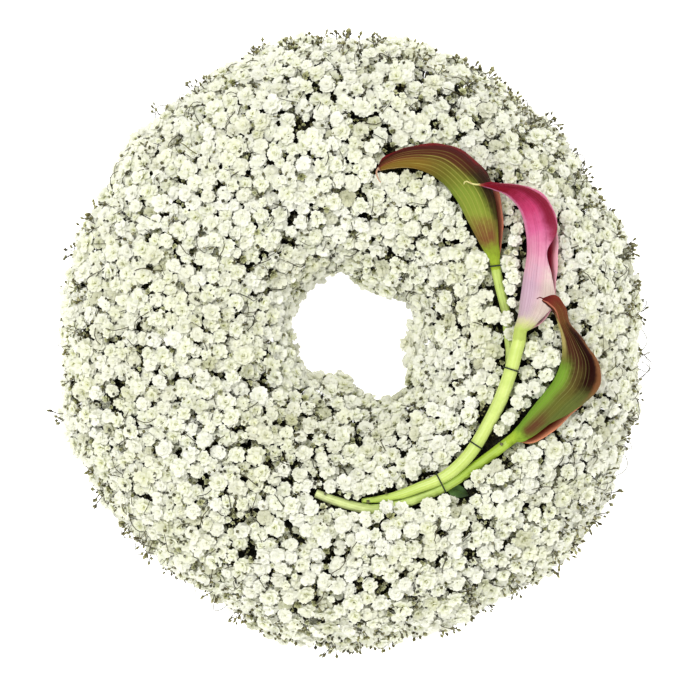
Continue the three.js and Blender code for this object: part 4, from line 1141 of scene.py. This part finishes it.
def leaf_model(rows=30, columns=13):
    """A pointed leaf, folded a little along its rib and drooping at its tip."""
    v, u = np.meshgrid(np.linspace(0, 1, rows), np.linspace(-1, 1, columns), indexing="ij")
    ahead = unit(LEAF_TIP - LEAF_BASE)
    side = np.array([ahead[1], -ahead[0]])
    half = LEAF_HALF_WIDTH * (0.1 + 0.9 * np.sin(math.pi * v ** 0.9) ** 0.8) * (1 - v ** 8)
    flat = LEAF_BASE + (LEAF_TIP - LEAF_BASE) * v[..., None] + side * (u * half)[..., None]
    middle = LEAF_BASE + (LEAF_TIP - LEAF_BASE) * v[..., None]
    top = core_top(middle[..., 0], middle[..., 1]) + 1.2 + 1.1 * np.abs(u) ** 1.3 * half / 3 - 1.4 * v ** 2
    points = np.concatenate([flat, top[..., None]], -1)
    under = points - (0, 0, 0.35)
    size = rows * columns
    rim = grid_rim(rows, columns)
    faces = [(a, size + b, b) for a, b in zip(rim, rim[1:] + rim[:1])]
    faces += [(a, size + a, size + b) for a, b in zip(rim, rim[1:] + rim[:1])]
    top_faces = grid_faces(rows, columns)[:, ::-1]
    tones = np.stack([v, (u + 1) / 2, np.zeros_like(u)], -1).reshape(-1, 3)
    return model(np.concatenate([points.reshape(-1, 3), under.reshape(-1, 3)]),
                 np.concatenate([top_faces, grid_faces(rows, columns, first=size), np.array(faces)]),
                 0, np.concatenate([tones, tones]))


leaf_finish, tree, shader = new_finish("small_dark_leaf", Roughness=0.45)
along, across, _ = tones_of(tree)
rib = fade(tree, calculate(tree, "ABSOLUTE", calculate(tree, "SUBTRACT", across, 0.5)), 0.0, 0.06, 1.0, 0.0)
cloud = use_group(tree, mottle, Scale=300.0, Contrast=1.2)["Value"]
colour = ramp(tree, along, [(0.1, paint(92, 138, 44)), (0.5, paint(66, 104, 34)), (0.9, paint(36, 54, 20))])
colour = blend_colours(tree, fade(tree, cloud, 0.3, 0.8, 0.0, 0.4), colour, paint(44, 66, 24))
colour = blend_colours(tree, calculate(tree, "MULTIPLY", rib, 0.35), colour, paint(120, 150, 70))
coat(tree, shader, colour, calculate(tree, "ADD", cloud, rib), 0.0002)
leaf = to_object("small_leaf_fine", leaf_model(), [leaf_finish])
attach(leaf, "root")
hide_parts("small_leaf")
print("pins and leaf made")

# %% [markdown]
# ## Room round the callas
#
# The florets leave room for the callas. Testing each place against the real meshes would be slow,
# so the callas are filled with balls, each with its place and radius, and a place is as free as its
# distance from the nearest ball. The lower end of the longest stem is sunk between the florets, and
# the leaf lies deep as well, so the room above them is kept free too.

# %% Room round the callas
STEM_MARGIN, TAIL_MARGIN, SHEET_MARGIN, LEAF_MARGIN = 1.1, 0.5, 1.2, 0.4
SUNK_STEPS = 22
CALLAS_ABOVE, CALLAS_RIGHT_OF = 52, -35
FAR_AWAY = 99.0


def blocked_places():
    """Rows of x, y, z and radius."""
    rows = []
    for name, calla in CALLAS.items():
        line, radii = stem_line(calla, 140)
        rows.append(np.column_stack([line, radii + STEM_MARGIN]))
        if name == "calla_3":
            for lift in (3, 6):
                rows.append(np.column_stack([line[-SUNK_STEPS:] + (0, 0, lift), radii[-SUNK_STEPS:]]))
        tail = smooth_line(calla["tail"], np.linspace(0, 1, 12))
        rows.append(np.column_stack([tail, np.full(12, TAIL_MARGIN)]))
        sheet, _ = spathe_sheet(calla, np.linspace(0, 1, 46), np.linspace(0, 1, 21), 0.7, 0)
        middle = sheet.mean(axis=1, keepdims=True)
        for inward in (0.0, 0.45, 0.8):
            points = (sheet + (middle - sheet) * inward).reshape(-1, 3)
            rows.append(np.column_stack([points, np.full(len(points), SHEET_MARGIN)]))
    for lift in (0, 3, 6, 9):
        points = leaf_model(8, 5)["points"] + (0, 0, lift)
        rows.append(np.column_stack([points, np.full(len(points), LEAF_MARGIN)]))
    return np.concatenate(rows)


BLOCKED = blocked_places()


def room_from_callas(points):
    """Distance from each point to the nearest stem, spathe or leaf."""
    room = np.full(len(points), FAR_AWAY)
    near = np.nonzero((points[:, 2] > CALLAS_ABOVE) & (points[:, 0] > CALLAS_RIGHT_OF))[0]
    for part in np.array_split(near, max(1, len(near) // 400)):
        gaps = np.linalg.norm(points[part][:, None] - BLOCKED[None, :, :3], axis=2) - BLOCKED[:, 3]
        room[part] = gaps.min(axis=1)
    return room


print(len(BLOCKED), "places are kept free for the callas")

# %% [markdown]
# ## Room for each floret
#
# A grower's spray isn't an even pattern, and neither is a scatter of random points: florets push
# each other aside. A physics simulation could press them together, but going through random places
# and keeping only those with room gives the same crowd at once. To be quick, each kept place is
# noted in a cell of space, and only the cells round a new place are looked through.

# %% Keeping places with room
CELL = 12.0
NEXT_CELLS = [(i, j, k) for i in (-1, 0, 1) for j in (-1, 0, 1) for k in (-1, 0, 1)]


def is_free(cells, place, spacing, radius=0.0):
    """Whether every kept place near this one is as far off as the spacing times their two radii."""
    x, y, z = place
    a, b, c = int(x // CELL), int(y // CELL), int(z // CELL)
    for da, db, dc in NEXT_CELLS:
        for px, py, pz, other in cells.get((a + da, b + db, c + dc), ()):
            gap = spacing * (radius + other)
            if (x - px) ** 2 + (y - py) ** 2 + (z - pz) ** 2 < gap * gap:
                return False
    return True


def settle(cells, points, radii, spacing):
    """Goes through the places in turn and keeps those with room. Returns their numbers."""
    kept = []
    for i, (place, radius) in enumerate(zip(points.tolist(), radii.tolist())):
        if is_free(cells, place, spacing, radius):
            cell = tuple(int(value // CELL) for value in place)
            cells.setdefault(cell, []).append((*place, radius))
            kept.append(i)
    return kept


print("cells of", CELL, "mm")

# %% [markdown]
# ## Lumps, bud patches and clefts
#
# Three fields keep the crowd from being even. Lumps push the bunches out at the rim and the hole.
# Bud patches are where a spray hasn't opened yet: the large florets stay away and sprigs of buds
# are seen. Clefts are winding lines where one looks down between the stems. Such masks could be
# painted, but waves and noise give their sizes and shares in a line each. The layers say how much
# there is of each: large florets first, then smaller and half-open ones that fill what is left,
# then larger ones that stand deeper and show through the gaps, and the smallest last.

# %% Lumps, bud patches and clefts
# Mean and waves, as for the sides of the ring.
RIM_LUMPS = -0.2, [(0.8, 1, 169), (1.9, 2, 157), (2.1, 3, -169), (1.2, 4, -25), (0.9, 5, 139),
                   (1.4, 6, -135), (1.2, 7, -45), (1.3, 12, 160), (1.0, 19, 250)]
HOLE_LUMPS = 3.4, [(-2.5, 1, -93), (-2.3, 2, 56), (-1.9, 3, 170), (-1.9, 4, -112), (-1.1, 5, -125),
                   (-1.3, 6, 153)]
LAYERS = [
    # tries, radii from and to, lift from and to, spacing, clearance in radii, share left to the buds,
    # share left open as clefts, kinds and their shares
    (60000, (4.2, 6.2), (-2.6, 1.4), 0.64, 0.72, 0.22, 0.055, {"open": 0.72, "loose": 0.28}),
    (30000, (2.8, 4.2), (-2.6, 0.6), 0.66, 0.68, 0.13, 0.15,
     {"open": 0.16, "loose": 0.42, "half": 0.26, "tight": 0.16}),
    (24000, (3.6, 4.8), (-6.4, -3.4), 0.76, 0.5, 0.0, 0.17, {"deep": 0.85, "half": 0.15}),
    (50000, (1.7, 2.7), (-2.6, 0.9), 0.74, 1.0, 0.0, 0.13, {"deep": 0.25, "half": 0.35, "tight": 0.4}),
]


def lumps(angle, turn):
    """How far the bunches stand out at the rim and at the hole, which is a soft polygon, in millimetres."""
    at_rim = add_waves(angle, *RIM_LUMPS) * np.clip((60 - turn) / 50, 0, 1)
    return at_rim + add_waves(angle, *HOLE_LUMPS) * np.clip((turn - 125) / 40, 0, 1)


def bud_patches(points, share):
    """Which points lie in the patches of a spray that haven't opened yet. They cover that share."""
    field = np.array([noise.noise(Vector(point) * 0.1) for point in points])
    angle = np.degrees(np.arctan2(points[:, 1], points[:, 0]))
    field += 0.08 * wave(angle, 1, 30) + 0.12 * wave(angle, 2, -124)
    return field >= np.quantile(field, 1 - share)


def clefts(points, share):
    """Which points lie on the winding clefts where one sees down between the stems."""
    field = np.array([abs(noise.noise(Vector(point) * 0.045 + Vector((7, 3, 5)))) for point in points])
    return field < np.quantile(field, share)


print(len(LAYERS), "layers of florets to place")

# %% [markdown]
# ## Where the florets stand
#
# Layer by layer, places are drawn all over the surface. Those that a calla, a bud patch or a cleft
# needs are left out, and the others settle where they have room. Florets at the rim are a little
# smaller. At the end, four florets are laid over the stems, where the maker of the wreath has
# pulled them. They could be moved there by hand, but the stem's own line gives their height.

# %% Places of the florets
RIM_BELOW, RIM_SIZE = 20, 0.93
rng = np.random.default_rng(20)
cells, batches = {}, []
for tries, sizes, lifts, spacing, clearance, share, open_share, kinds in LAYERS:
    angle, turn = draw_places(rng, tries, -25, 205)
    count = len(angle)
    radius = rng.uniform(*sizes, count)
    radius *= np.where(turn < RIM_BELOW, RIM_SIZE, 1.0)
    lift = rng.uniform(*lifts, count) + lumps(angle, turn)
    points, normal = on_mass(angle, turn, lift)
    usable = (room_from_callas(points) > clearance * radius) & (points[:, 2] > radius * 0.8 + 1)
    filled = ~bud_patches(points, share) & ~clefts(points, open_share)
    order = np.nonzero(usable & filled)[0]
    kept = order[settle(cells, points[order], radius[order], spacing)]
    kind = rng.choice(list(kinds), len(kept), p=list(kinds.values()))
    batches.append({"angle": angle[kept], "turn": turn[kept], "lift": lift[kept], "radius": radius[kept],
                    "point": points[kept], "normal": normal[kept], "kind": kind})
    print(f"layer of {len(kept)} florets, {radius[kept].min():.1f} to {radius[kept].max():.1f} mm")

# Calla, place and radius of each floret that is laid over a stem.
OVER_STEMS = [("calla_1", (84.2, 12.6), 4.9), ("calla_1", (87.0, 5.0), 4.5),
              ("calla_3", (18.8, -90.6), 4.8), ("calla_3", (26.2, -91.2), 4.5)]
for name, place, radius in OVER_STEMS:
    point, _, stem_radius = nearest_on_stem(CALLAS[name], place)
    point = np.array([[*place, point[2] + stem_radius + 0.3 * radius]])
    angle = np.degrees(np.arctan2(place[1], place[0])) % 360
    outer, hole = ring_sides(angle)
    across = (np.hypot(*place) - (outer + hole) / 2) / ((outer - hole) / 2)
    batches.append({"angle": np.array([angle]), "turn": np.degrees(np.arccos([across])),
                    "lift": np.array([1.5]), "radius": np.array([radius]), "point": point,
                    "normal": np.array([[0.0, 0.0, 1.0]]), "kind": np.array(["open"])})
print(len(OVER_STEMS), "florets laid over the stems")
florets = {key: np.concatenate([batch[key] for batch in batches]) for key in batches[0]}

# %% [markdown]
# ## The bunches
#
# Every floret is turned to face outward, leaned a little towards the light, and scaled. Instances
# of one floret would be lighter, but they are lost on export, so each floret becomes part of a
# mesh, and whole arrays of copies are stacked at once. Each floret, sprig and patch of heart
# belongs to the spray that it stands on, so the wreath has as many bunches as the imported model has
# sprays.

# %% Turning and stacking
def frames(rng, normal, lean_up, scatter):
    """Turning matrices that stand a model on each place, with a random spin and tilt."""
    count = len(normal)
    lean = lean_up * (0.6 + 1.6 * np.clip(1 - normal[:, 2:3], 0, 1)) * np.array([0, 0, 1.0])
    axis = unit(normal + lean + rng.normal(0, scatter, (count, 3)))
    helper = np.where(np.abs(axis[:, 2:3]) < 0.9, [[0.0, 0.0, 1.0]], [[1.0, 0.0, 0.0]])
    side = unit(np.cross(helper, axis))
    other = np.cross(axis, side)
    spin = rng.uniform(0, 2 * math.pi, (count, 1))
    first = np.cos(spin) * side + np.sin(spin) * other
    return np.stack([first, np.cross(axis, first), axis], axis=2)


def set_out(drawn, turned, scale, points, shade, wilt_and_deep_shade):
    """Many copies of one drawn model as a single model."""
    count, size = len(points), len(drawn["points"])
    placed = np.einsum("nij,mj->nmi", turned, drawn["points"]) * scale[:, None, None] + points[:, None]
    tones = np.broadcast_to(drawn["tones"], (count, size, 3)).copy()
    tones[..., 1], tones[..., 2] = shade[:, None], wilt_and_deep_shade[:, None]
    triangles = drawn["triangles"][None] + (np.arange(count) * size)[:, None, None]
    return model(placed, triangles, np.tile(drawn["finish"], count), tones.reshape(-1, 3))


bunches = {name: [] for name in nodes if name.startswith("spray_")}


def share_out(drawn, drawing, owner, turned, scale, points, shade, wilt_and_deep_shade):
    """Sets out the drawing that each place has drawn, in the bunch that the place belongs to."""
    for i, one in enumerate(drawn):
        for name in bunches:
            chosen = (drawing == i) & (owner == name)
            if chosen.any():
                bunches[name].append(set_out(one, turned[chosen], scale[chosen], points[chosen],
                                             shade[chosen], wilt_and_deep_shade[chosen]))


print(len(bunches), "bunches to fill")

# %% [markdown]
# ## The age of each floret
#
# No two florets are of one age. Cream drifts over the ring in wide clouds, and fades at the rim,
# where the florets are painted whiter as painted light from the bright floor round them. Closed ones
# are creamier and more worn, less worn at the rim for the same painted light, deep ones are painted
# a little darker as painted shade, and about one in twenty has begun to wilt. A finish for each age
# would do too, but a tone for each floret lets all of them share one.

# %% Setting out the florets
CLOSED_SIZES = {"half": 0.8, "tight": 0.62}
rng = np.random.default_rng(21)
turned = frames(rng, florets["normal"], lean_up=0.35, scatter=0.17)
count = len(florets["radius"])
drift = np.array([noise.noise(Vector(point) * 0.035) for point in florets["point"]])
cream_and_rim_light = np.clip(rng.uniform(0, 1, count) ** 2 * 0.6 + 0.6 * drift, 0, 1)
# Less cream at the rim: painted light that makes the florets there whiter.
cream_and_rim_light *= np.clip(florets["turn"] / 45, 0.1, 1)
wilt_and_deep_shade = np.where(rng.uniform(0, 1, count) < 0.05, rng.uniform(0.2, 0.5, count), rng.uniform(0, 0.1, count))
# Deep florets are darkened: painted shade.
wilt_and_deep_shade = np.where(florets["lift"] < -5, np.clip(wilt_and_deep_shade + 0.2, 0, 1), wilt_and_deep_shade)
closed = np.isin(florets["kind"], list(CLOSED_SIZES))
cream_and_rim_light = np.where(closed, rng.uniform(0.2, 1.0, count), cream_and_rim_light)
# Less wear at the rim: the same painted light.
wear_and_rim_light = rng.uniform(0.0, 0.6, count) * np.clip(florets["turn"] / 45, 0.3, 1)
wilt_and_deep_shade = np.where(closed, np.clip(wilt_and_deep_shade + wear_and_rim_light, 0, 1), wilt_and_deep_shade)
size = florets["radius"] * np.array([CLOSED_SIZES.get(kind, 1) for kind in florets["kind"]])
owner = spray_names(florets["angle"], florets["turn"])
drawing = rng.integers(0, 60, count)
for kind, drawn in FLORETS.items():
    one_kind = florets["kind"] == kind
    share_out(drawn, drawing[one_kind] % len(drawn), owner[one_kind], turned[one_kind], size[one_kind],
              florets["point"][one_kind], cream_and_rim_light[one_kind], wilt_and_deep_shade[one_kind])
print(count, "florets set out")

# %% [markdown]
# ## Sprigs in the gaps and round the rim
#
# Sprigs fill the bud patches and the gaps. A few single buds stand over the florets, others in the
# dark hollows beside the calla stems. At the rim they reach out in clusters, some of them far, and
# give the wreath its feathery outline. A particle system could scatter them, but it wouldn't keep
# them clear of the florets. So each lot is drawn like the florets: a sprig stays if its tip is
# clear of the florets, of other sprigs and of the callas. Its root goes down into the heart.

# %% Sprigs between the florets and round the rim
def beside_the_callas(points):
    """Which points do not hang over a stem or a spathe."""
    free = np.ones(len(points), bool)
    for x, y, _, radius in BLOCKED.tolist():
        free &= np.hypot(points[:, 0] - x, points[:, 1] - y) > radius + 0.5
    return free


def in_the_gaps(points, share):
    """Which points stand clear of every floret, by a share of its radius."""
    return np.array([is_free(cells, place, share) for place in points.tolist()])


SPRIG_LOTS = [
    # drawings, tries, turn from and to, tip's lift from and to, height from and to, room to florets as
    # a share, room to each other, distance to the callas from and to, share covered, darkness from and to
    (RICH_SPRIGS, 7000, (20, 185), (-3.4, 1.0), (9, 13), 0.66, 3.0, (3.4, 99), 1.0, (0.15, 0.9)),
    (SMALL_SPRIGS, 2000, (26, 160), (-6.5, -2.8), (8, 12), 0.6, 3.4, (3.4, 99), 1.0, (0.0, 0.5)),
    (LONE_BUDS, 12000, (26, 150), (-7.0, -2.0), (5, 6.5), 0.6, 1.2, (2.1, 9), 1.0, (0.0, 0.45)),
    # The three lots at the rim are painted lighter than those on the crown: painted light from the bright
    # floor round the rim.
    (RICH_SPRIGS, 500, (-16, 40), (-1.5, 3.5), (11, 15), 0.55, 3.3, (3.4, 99), 1.0, (0.05, 0.6)),
    (RICH_SPRIGS, 330, (-14, 16), (4.5, 9.5), (15, 19), 0.3, 4.4, (3.4, 99), 0.4, (0.0, 0.5)),
    (RICH_SPRIGS, 1100, (-10, 30), (2.5, 7.5), (12, 16), 0.45, 3.2, (3.4, 99), 0.34, (0.05, 0.6)),
    (SMALL_SPRIGS, 200, (150, 200), (0.0, 2.0), (9, 12), 0.6, 3.2, (3.4, 99), 1.0, (0.2, 0.7)),
    (LONE_BUDS, 1100, (24, 156), (1.8, 4.4), (11, 14), 0.5, 1.6, (3.4, 99), 1.0, (0.4, 0.95)),
    (LONE_BUDS, 160, (-16, 34), (1.0, 4.5), (11, 15), 0.5, 1.6, (3.4, 99), 1.0, (0.3, 0.95)),
]
sprig_cells, total = {}, 0
for sprigs, tries, turns, tips, heights, share, room, calla_room, covered, darkness in SPRIG_LOTS:
    angle, turn = draw_places(rng, tries, *turns)
    tip = rng.uniform(*tips, len(angle))
    tall = rng.uniform(*heights, len(angle))
    tip_points, normal = on_mass(angle, turn, tip + lumps(angle, turn))
    from_callas = room_from_callas(tip_points)
    good = in_the_gaps(tip_points, share) & (from_callas > calla_room[0]) & (from_callas < calla_room[1] + 1)
    good &= (tip_points[:, 2] > 4) & beside_the_callas(tip_points)
    order = np.nonzero(good & bud_patches(tip_points, covered))[0]
    kept = order[settle(sprig_cells, tip_points[order], np.full(len(order), room), 1.0)]
    feet = tip_points[kept] - normal[kept] * tall[kept][:, None]
    turned = frames(rng, normal[kept], lean_up=0.1, scatter=0.22)
    dark = rng.uniform(*darkness, len(kept))
    owner = spray_names(angle[kept], turn[kept])
    drawing = rng.integers(0, len(sprigs), len(kept))
    share_out(sprigs, drawing, owner, turned, tall[kept], feet, dark, np.zeros(len(kept)))
    total += len(kept)
    print(f"{len(kept)} sprigs of {len(sprigs)} drawings")
print(total, "sprigs set out")

# %% [markdown]
# ## Stalks that arch over the florets
#
# Here and there a thin bare stalk runs from one floret to the next. Each could be led from floret
# to floret, but chance looks the same in such a crowd. So the arches drawn earlier are laid along
# the surface, each in a direction of its own, wherever they don't reach a calla.

# %% Stalks that arch between the florets
ARCH_LOTS = [
    # tries, turn from and to, lift from and to, length from and to, darkness from and to
    (460, (36, 158), (-3.0, 0.2), (10, 20), (0.0, 0.8)),
    (240, (-10, 40), (-2.5, 1.5), (9, 17), (0.0, 0.7)),
]


def lying_frames(rng, normal):
    """Turning matrices that lay a model along the surface, in a random direction."""
    ahead = unit(np.cross(normal, rng.normal(0, 1, normal.shape)))
    return np.stack([ahead, np.cross(normal, ahead), normal], axis=2)


for tries, turns, lifts, lengths, darkness in ARCH_LOTS:
    angle, turn = draw_places(rng, tries, *turns)
    feet, normal = on_mass(angle, turn, rng.uniform(*lifts, len(angle)))
    long = rng.uniform(*lengths, len(angle))
    turned = lying_frames(rng, normal)
    middle = feet + turned[..., 0] * long[:, None] / 2
    kept = np.nonzero((room_from_callas(middle) > long * 0.55 + 1) & (feet[:, 2] > 8) & (middle[:, 2] > 8))[0]
    dark = rng.uniform(*darkness, len(kept))
    owner = spray_names(angle[kept], turn[kept])
    drawing = rng.integers(0, len(ARCHES), len(kept))
    share_out(ARCHES, drawing, owner, turned[kept], long[kept], feet[kept], dark, np.zeros(len(kept)))
    print(len(kept), "arching stalks")

# %% [markdown]
# ## The heart of each spray
#
# Under the florets a spray is a dense tangle of stems. Modelling every stem would cost more
# triangles than all the florets, and the tangle is only seen as darkness in the gaps. So it is a
# lumpy block between the foam and the florets, a centimetre below them, with a noise that breaks up
# its surface, painted nearly black as the shade of the deep gaps. It spans the same angles as the
# spray's solid, just shy of its neighbours.

# %% Hearts
HEART_SINK = 10.5
BACKS = {
    "spray_hole": [[66.3, 6], [66.3, 17.6], [69.4, 34.3], [73.45, 38.15]],
    "spray_inner_crown": [[73.85, 38.55], [78, 42.5], [97.25, 42.5]],
    "spray_outer_crown": [[97.75, 42.5], [117, 42.5], [121.15, 38.55]],
    "spray_rim": [[121.55, 38.15], [125.6, 34.3], [129.4, 17.6], [129.4, 6]],
}
GAP = 0.5
SHY = 0.3
SHARE_OF_LUMPS = 0.8


def heart_model(name):
    """The heart of a spray: rings of points from one side to the other, closed by a cap at each end."""
    row, number = name[:-3], int(name[-2:])
    count, low, high, phase = ROWS[row]
    span = 360 / count
    start = phase + (number - 1) * span
    low, high = low + SHY, high - SHY
    arc = np.linspace(low, high, round((high - low) / 5) + 1)
    rings = []
    angles = np.linspace(start, start + span, 13)
    for angle in angles:
        lift = SHARE_OF_LUMPS * lumps(angle, arc) - HEART_SINK
        points, normal = on_mass(np.full(len(arc), angle), arc, lift)
        rough = [1.6 * noise.noise(Vector(p) * 0.11) + 1.3 * noise.noise(Vector(p) * 0.31) for p in points]
        points = points + normal * np.array(rough)[:, None]
        across, ahead = math.cos(math.radians(angle)), math.sin(math.radians(angle))
        back = [(r * across, r * ahead, z) for r, z in BACKS[row]]
        ring = np.concatenate([points, back])
        inward = 1 if angle == angles[0] else -1 if angle == angles[-1] else 0
        spin = np.arcsin(GAP / 2 / np.hypot(ring[:, 0], ring[:, 1])) * inward
        cos, sin = np.cos(spin), np.sin(spin)
        x, y, z = ring.T
        rings.append(np.stack([x * cos - y * sin, x * sin + y * cos, z], 1))
    rings = rings[::-1]
    size = len(rings[0])
    flat = [Vector((math.hypot(p[0], p[1]), p[2], 0)) for p in rings[0]]
    caps = []
    for a, b, c in tessellate_polygon([flat]):
        if (flat[b] - flat[a]).cross(flat[c] - flat[a]).z < 0:
            b, c = c, b
        last = (len(rings) - 1) * size
        caps += [(a, c, b), (last + a, last + b, last + c)]
    faces = np.concatenate([grid_faces(len(rings), size, closed=True), np.array(caps)])
    return model(np.concatenate(rings), faces, HEART, (0, 0, 0))


total = 0
for name, parts in bunches.items():
    made = join(parts + [heart_model(name)])
    piece = to_object(f"{name}_bunch", made, BLOOM_FINISHES)
    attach(piece, "root")
    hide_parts(name)
    total += len(made["triangles"])
print(f"{len(bunches)} bunches, {total} triangles")

# %% [markdown]
# ## Foam and tray
#
# The foam ring and its tray are hidden from above and seen from below. Their solids have the right
# shape, so they stay and only get a finish: dark green crumbly foam, and moulded plastic with a
# fine grain and faint scuffs.

# %% Finishes of the foam and the tray
foam_finish, tree, shader = new_finish("floral_foam", Roughness=0.95)
cloud = use_group(tree, mottle, Scale=1500.0, Contrast=2.0)["Value"]
colour = ramp(tree, cloud, [(0.2, paint(36, 58, 26)), (0.8, paint(74, 104, 52))])
coat(tree, shader, colour, cloud, 0.0006)

tray_finish, tree, shader = new_finish("tray_plastic", Roughness=0.45)
grain = use_group(tree, mottle, Scale=2400.0, Contrast=1.0)["Value"]
scuffs = use_group(tree, mottle, Scale=60.0, Contrast=1.6)["Value"]
colour = ramp(tree, scuffs, [(0.3, paint(22, 48, 32)), (0.8, paint(34, 64, 44))])
coat(tree, shader, colour, grain, 0.00008)
tree.links.new(fade(tree, scuffs, 0.2, 0.9, 0.38, 0.6), shader.inputs["Roughness"])
for name, finish in (("foam_ring", foam_finish), ("tray_ring", tray_finish)):
    nodes[name].data.materials.clear()
    nodes[name].data.materials.append(finish)
print("foam and tray finished")

# %% [markdown]
# ## Floor and light
#
# The photograph was taken on white, in soft light from all sides that leaves no hard shadow. Large
# lamps stand round the wreath well above it, brightest at the upper left, and none hangs straight
# over it: light that comes from beside the camera reaches less deep into the gaps, which makes them
# dark. The floor gives off a little light of its own, so that it stays white in the hole as well.

# %% Floor and light
FLOOR_HALF = 3
FLOOR_SINK = 0.0002
floor_mesh = bpy.data.meshes.new("floor")
floor_mesh.from_pydata([(x * FLOOR_HALF, y * FLOOR_HALF, 0) for x, y in ((-1, -1), (1, -1), (1, 1), (-1, 1))],
                       [], [(0, 1, 2, 3)])
floor = bpy.data.objects.new("floor", floor_mesh)
floor.location.z = -FLOOR_SINK
bpy.context.scene.collection.objects.link(floor)
floor_finish, tree, shader = new_finish("pale_floor", Roughness=0.9, Emission_Strength=1.1)
cloud = use_group(tree, mottle, Scale=8.0, Contrast=0.3)["Value"]
colour = ramp(tree, cloud, [(0.0, paint(250, 250, 250)), (1.0, paint(255, 255, 255))])
tree.links.new(colour, shader.inputs["Base Color"])
shader.inputs["Emission Color"].default_value = (1, 1, 1, 1)
floor_mesh.materials.append(floor_finish)

LAMP_SIZE = 0.6
AIM_HEIGHT = 0.05
WORLD_STRENGTH = 0.44
# Place and power of each lamp.
LAMPS = [(-0.55, 0.6, 1.6, 15.6), (1.3, 0.9, 1.2, 8.2), (0.9, -1.3, 1.1, 10.2), (-1.2, -1.0, 1.1, 9.2)]
for i, (x, y, z, power) in enumerate(LAMPS):
    lamp = bpy.data.lights.new(f"softbox_{i + 1}", "AREA")
    lamp.size, lamp.energy = LAMP_SIZE, power
    holder = bpy.data.objects.new(lamp.name, lamp)
    holder.location = (x, y, z)
    holder.rotation_euler = (-Vector((x, y, z - AIM_HEIGHT))).to_track_quat("-Z", "Y").to_euler()
    bpy.context.scene.collection.objects.link(holder)

world = bpy.data.worlds.new("studio")
world.use_nodes = True
background = world.node_tree.nodes["Background"].inputs
background["Color"].default_value = (1, 1, 1, 1)
background["Strength"].default_value = WORLD_STRENGTH
bpy.context.scene.world = world
bpy.context.scene.view_settings.view_transform = "Standard"
print(len(LAMPS), "lamps")
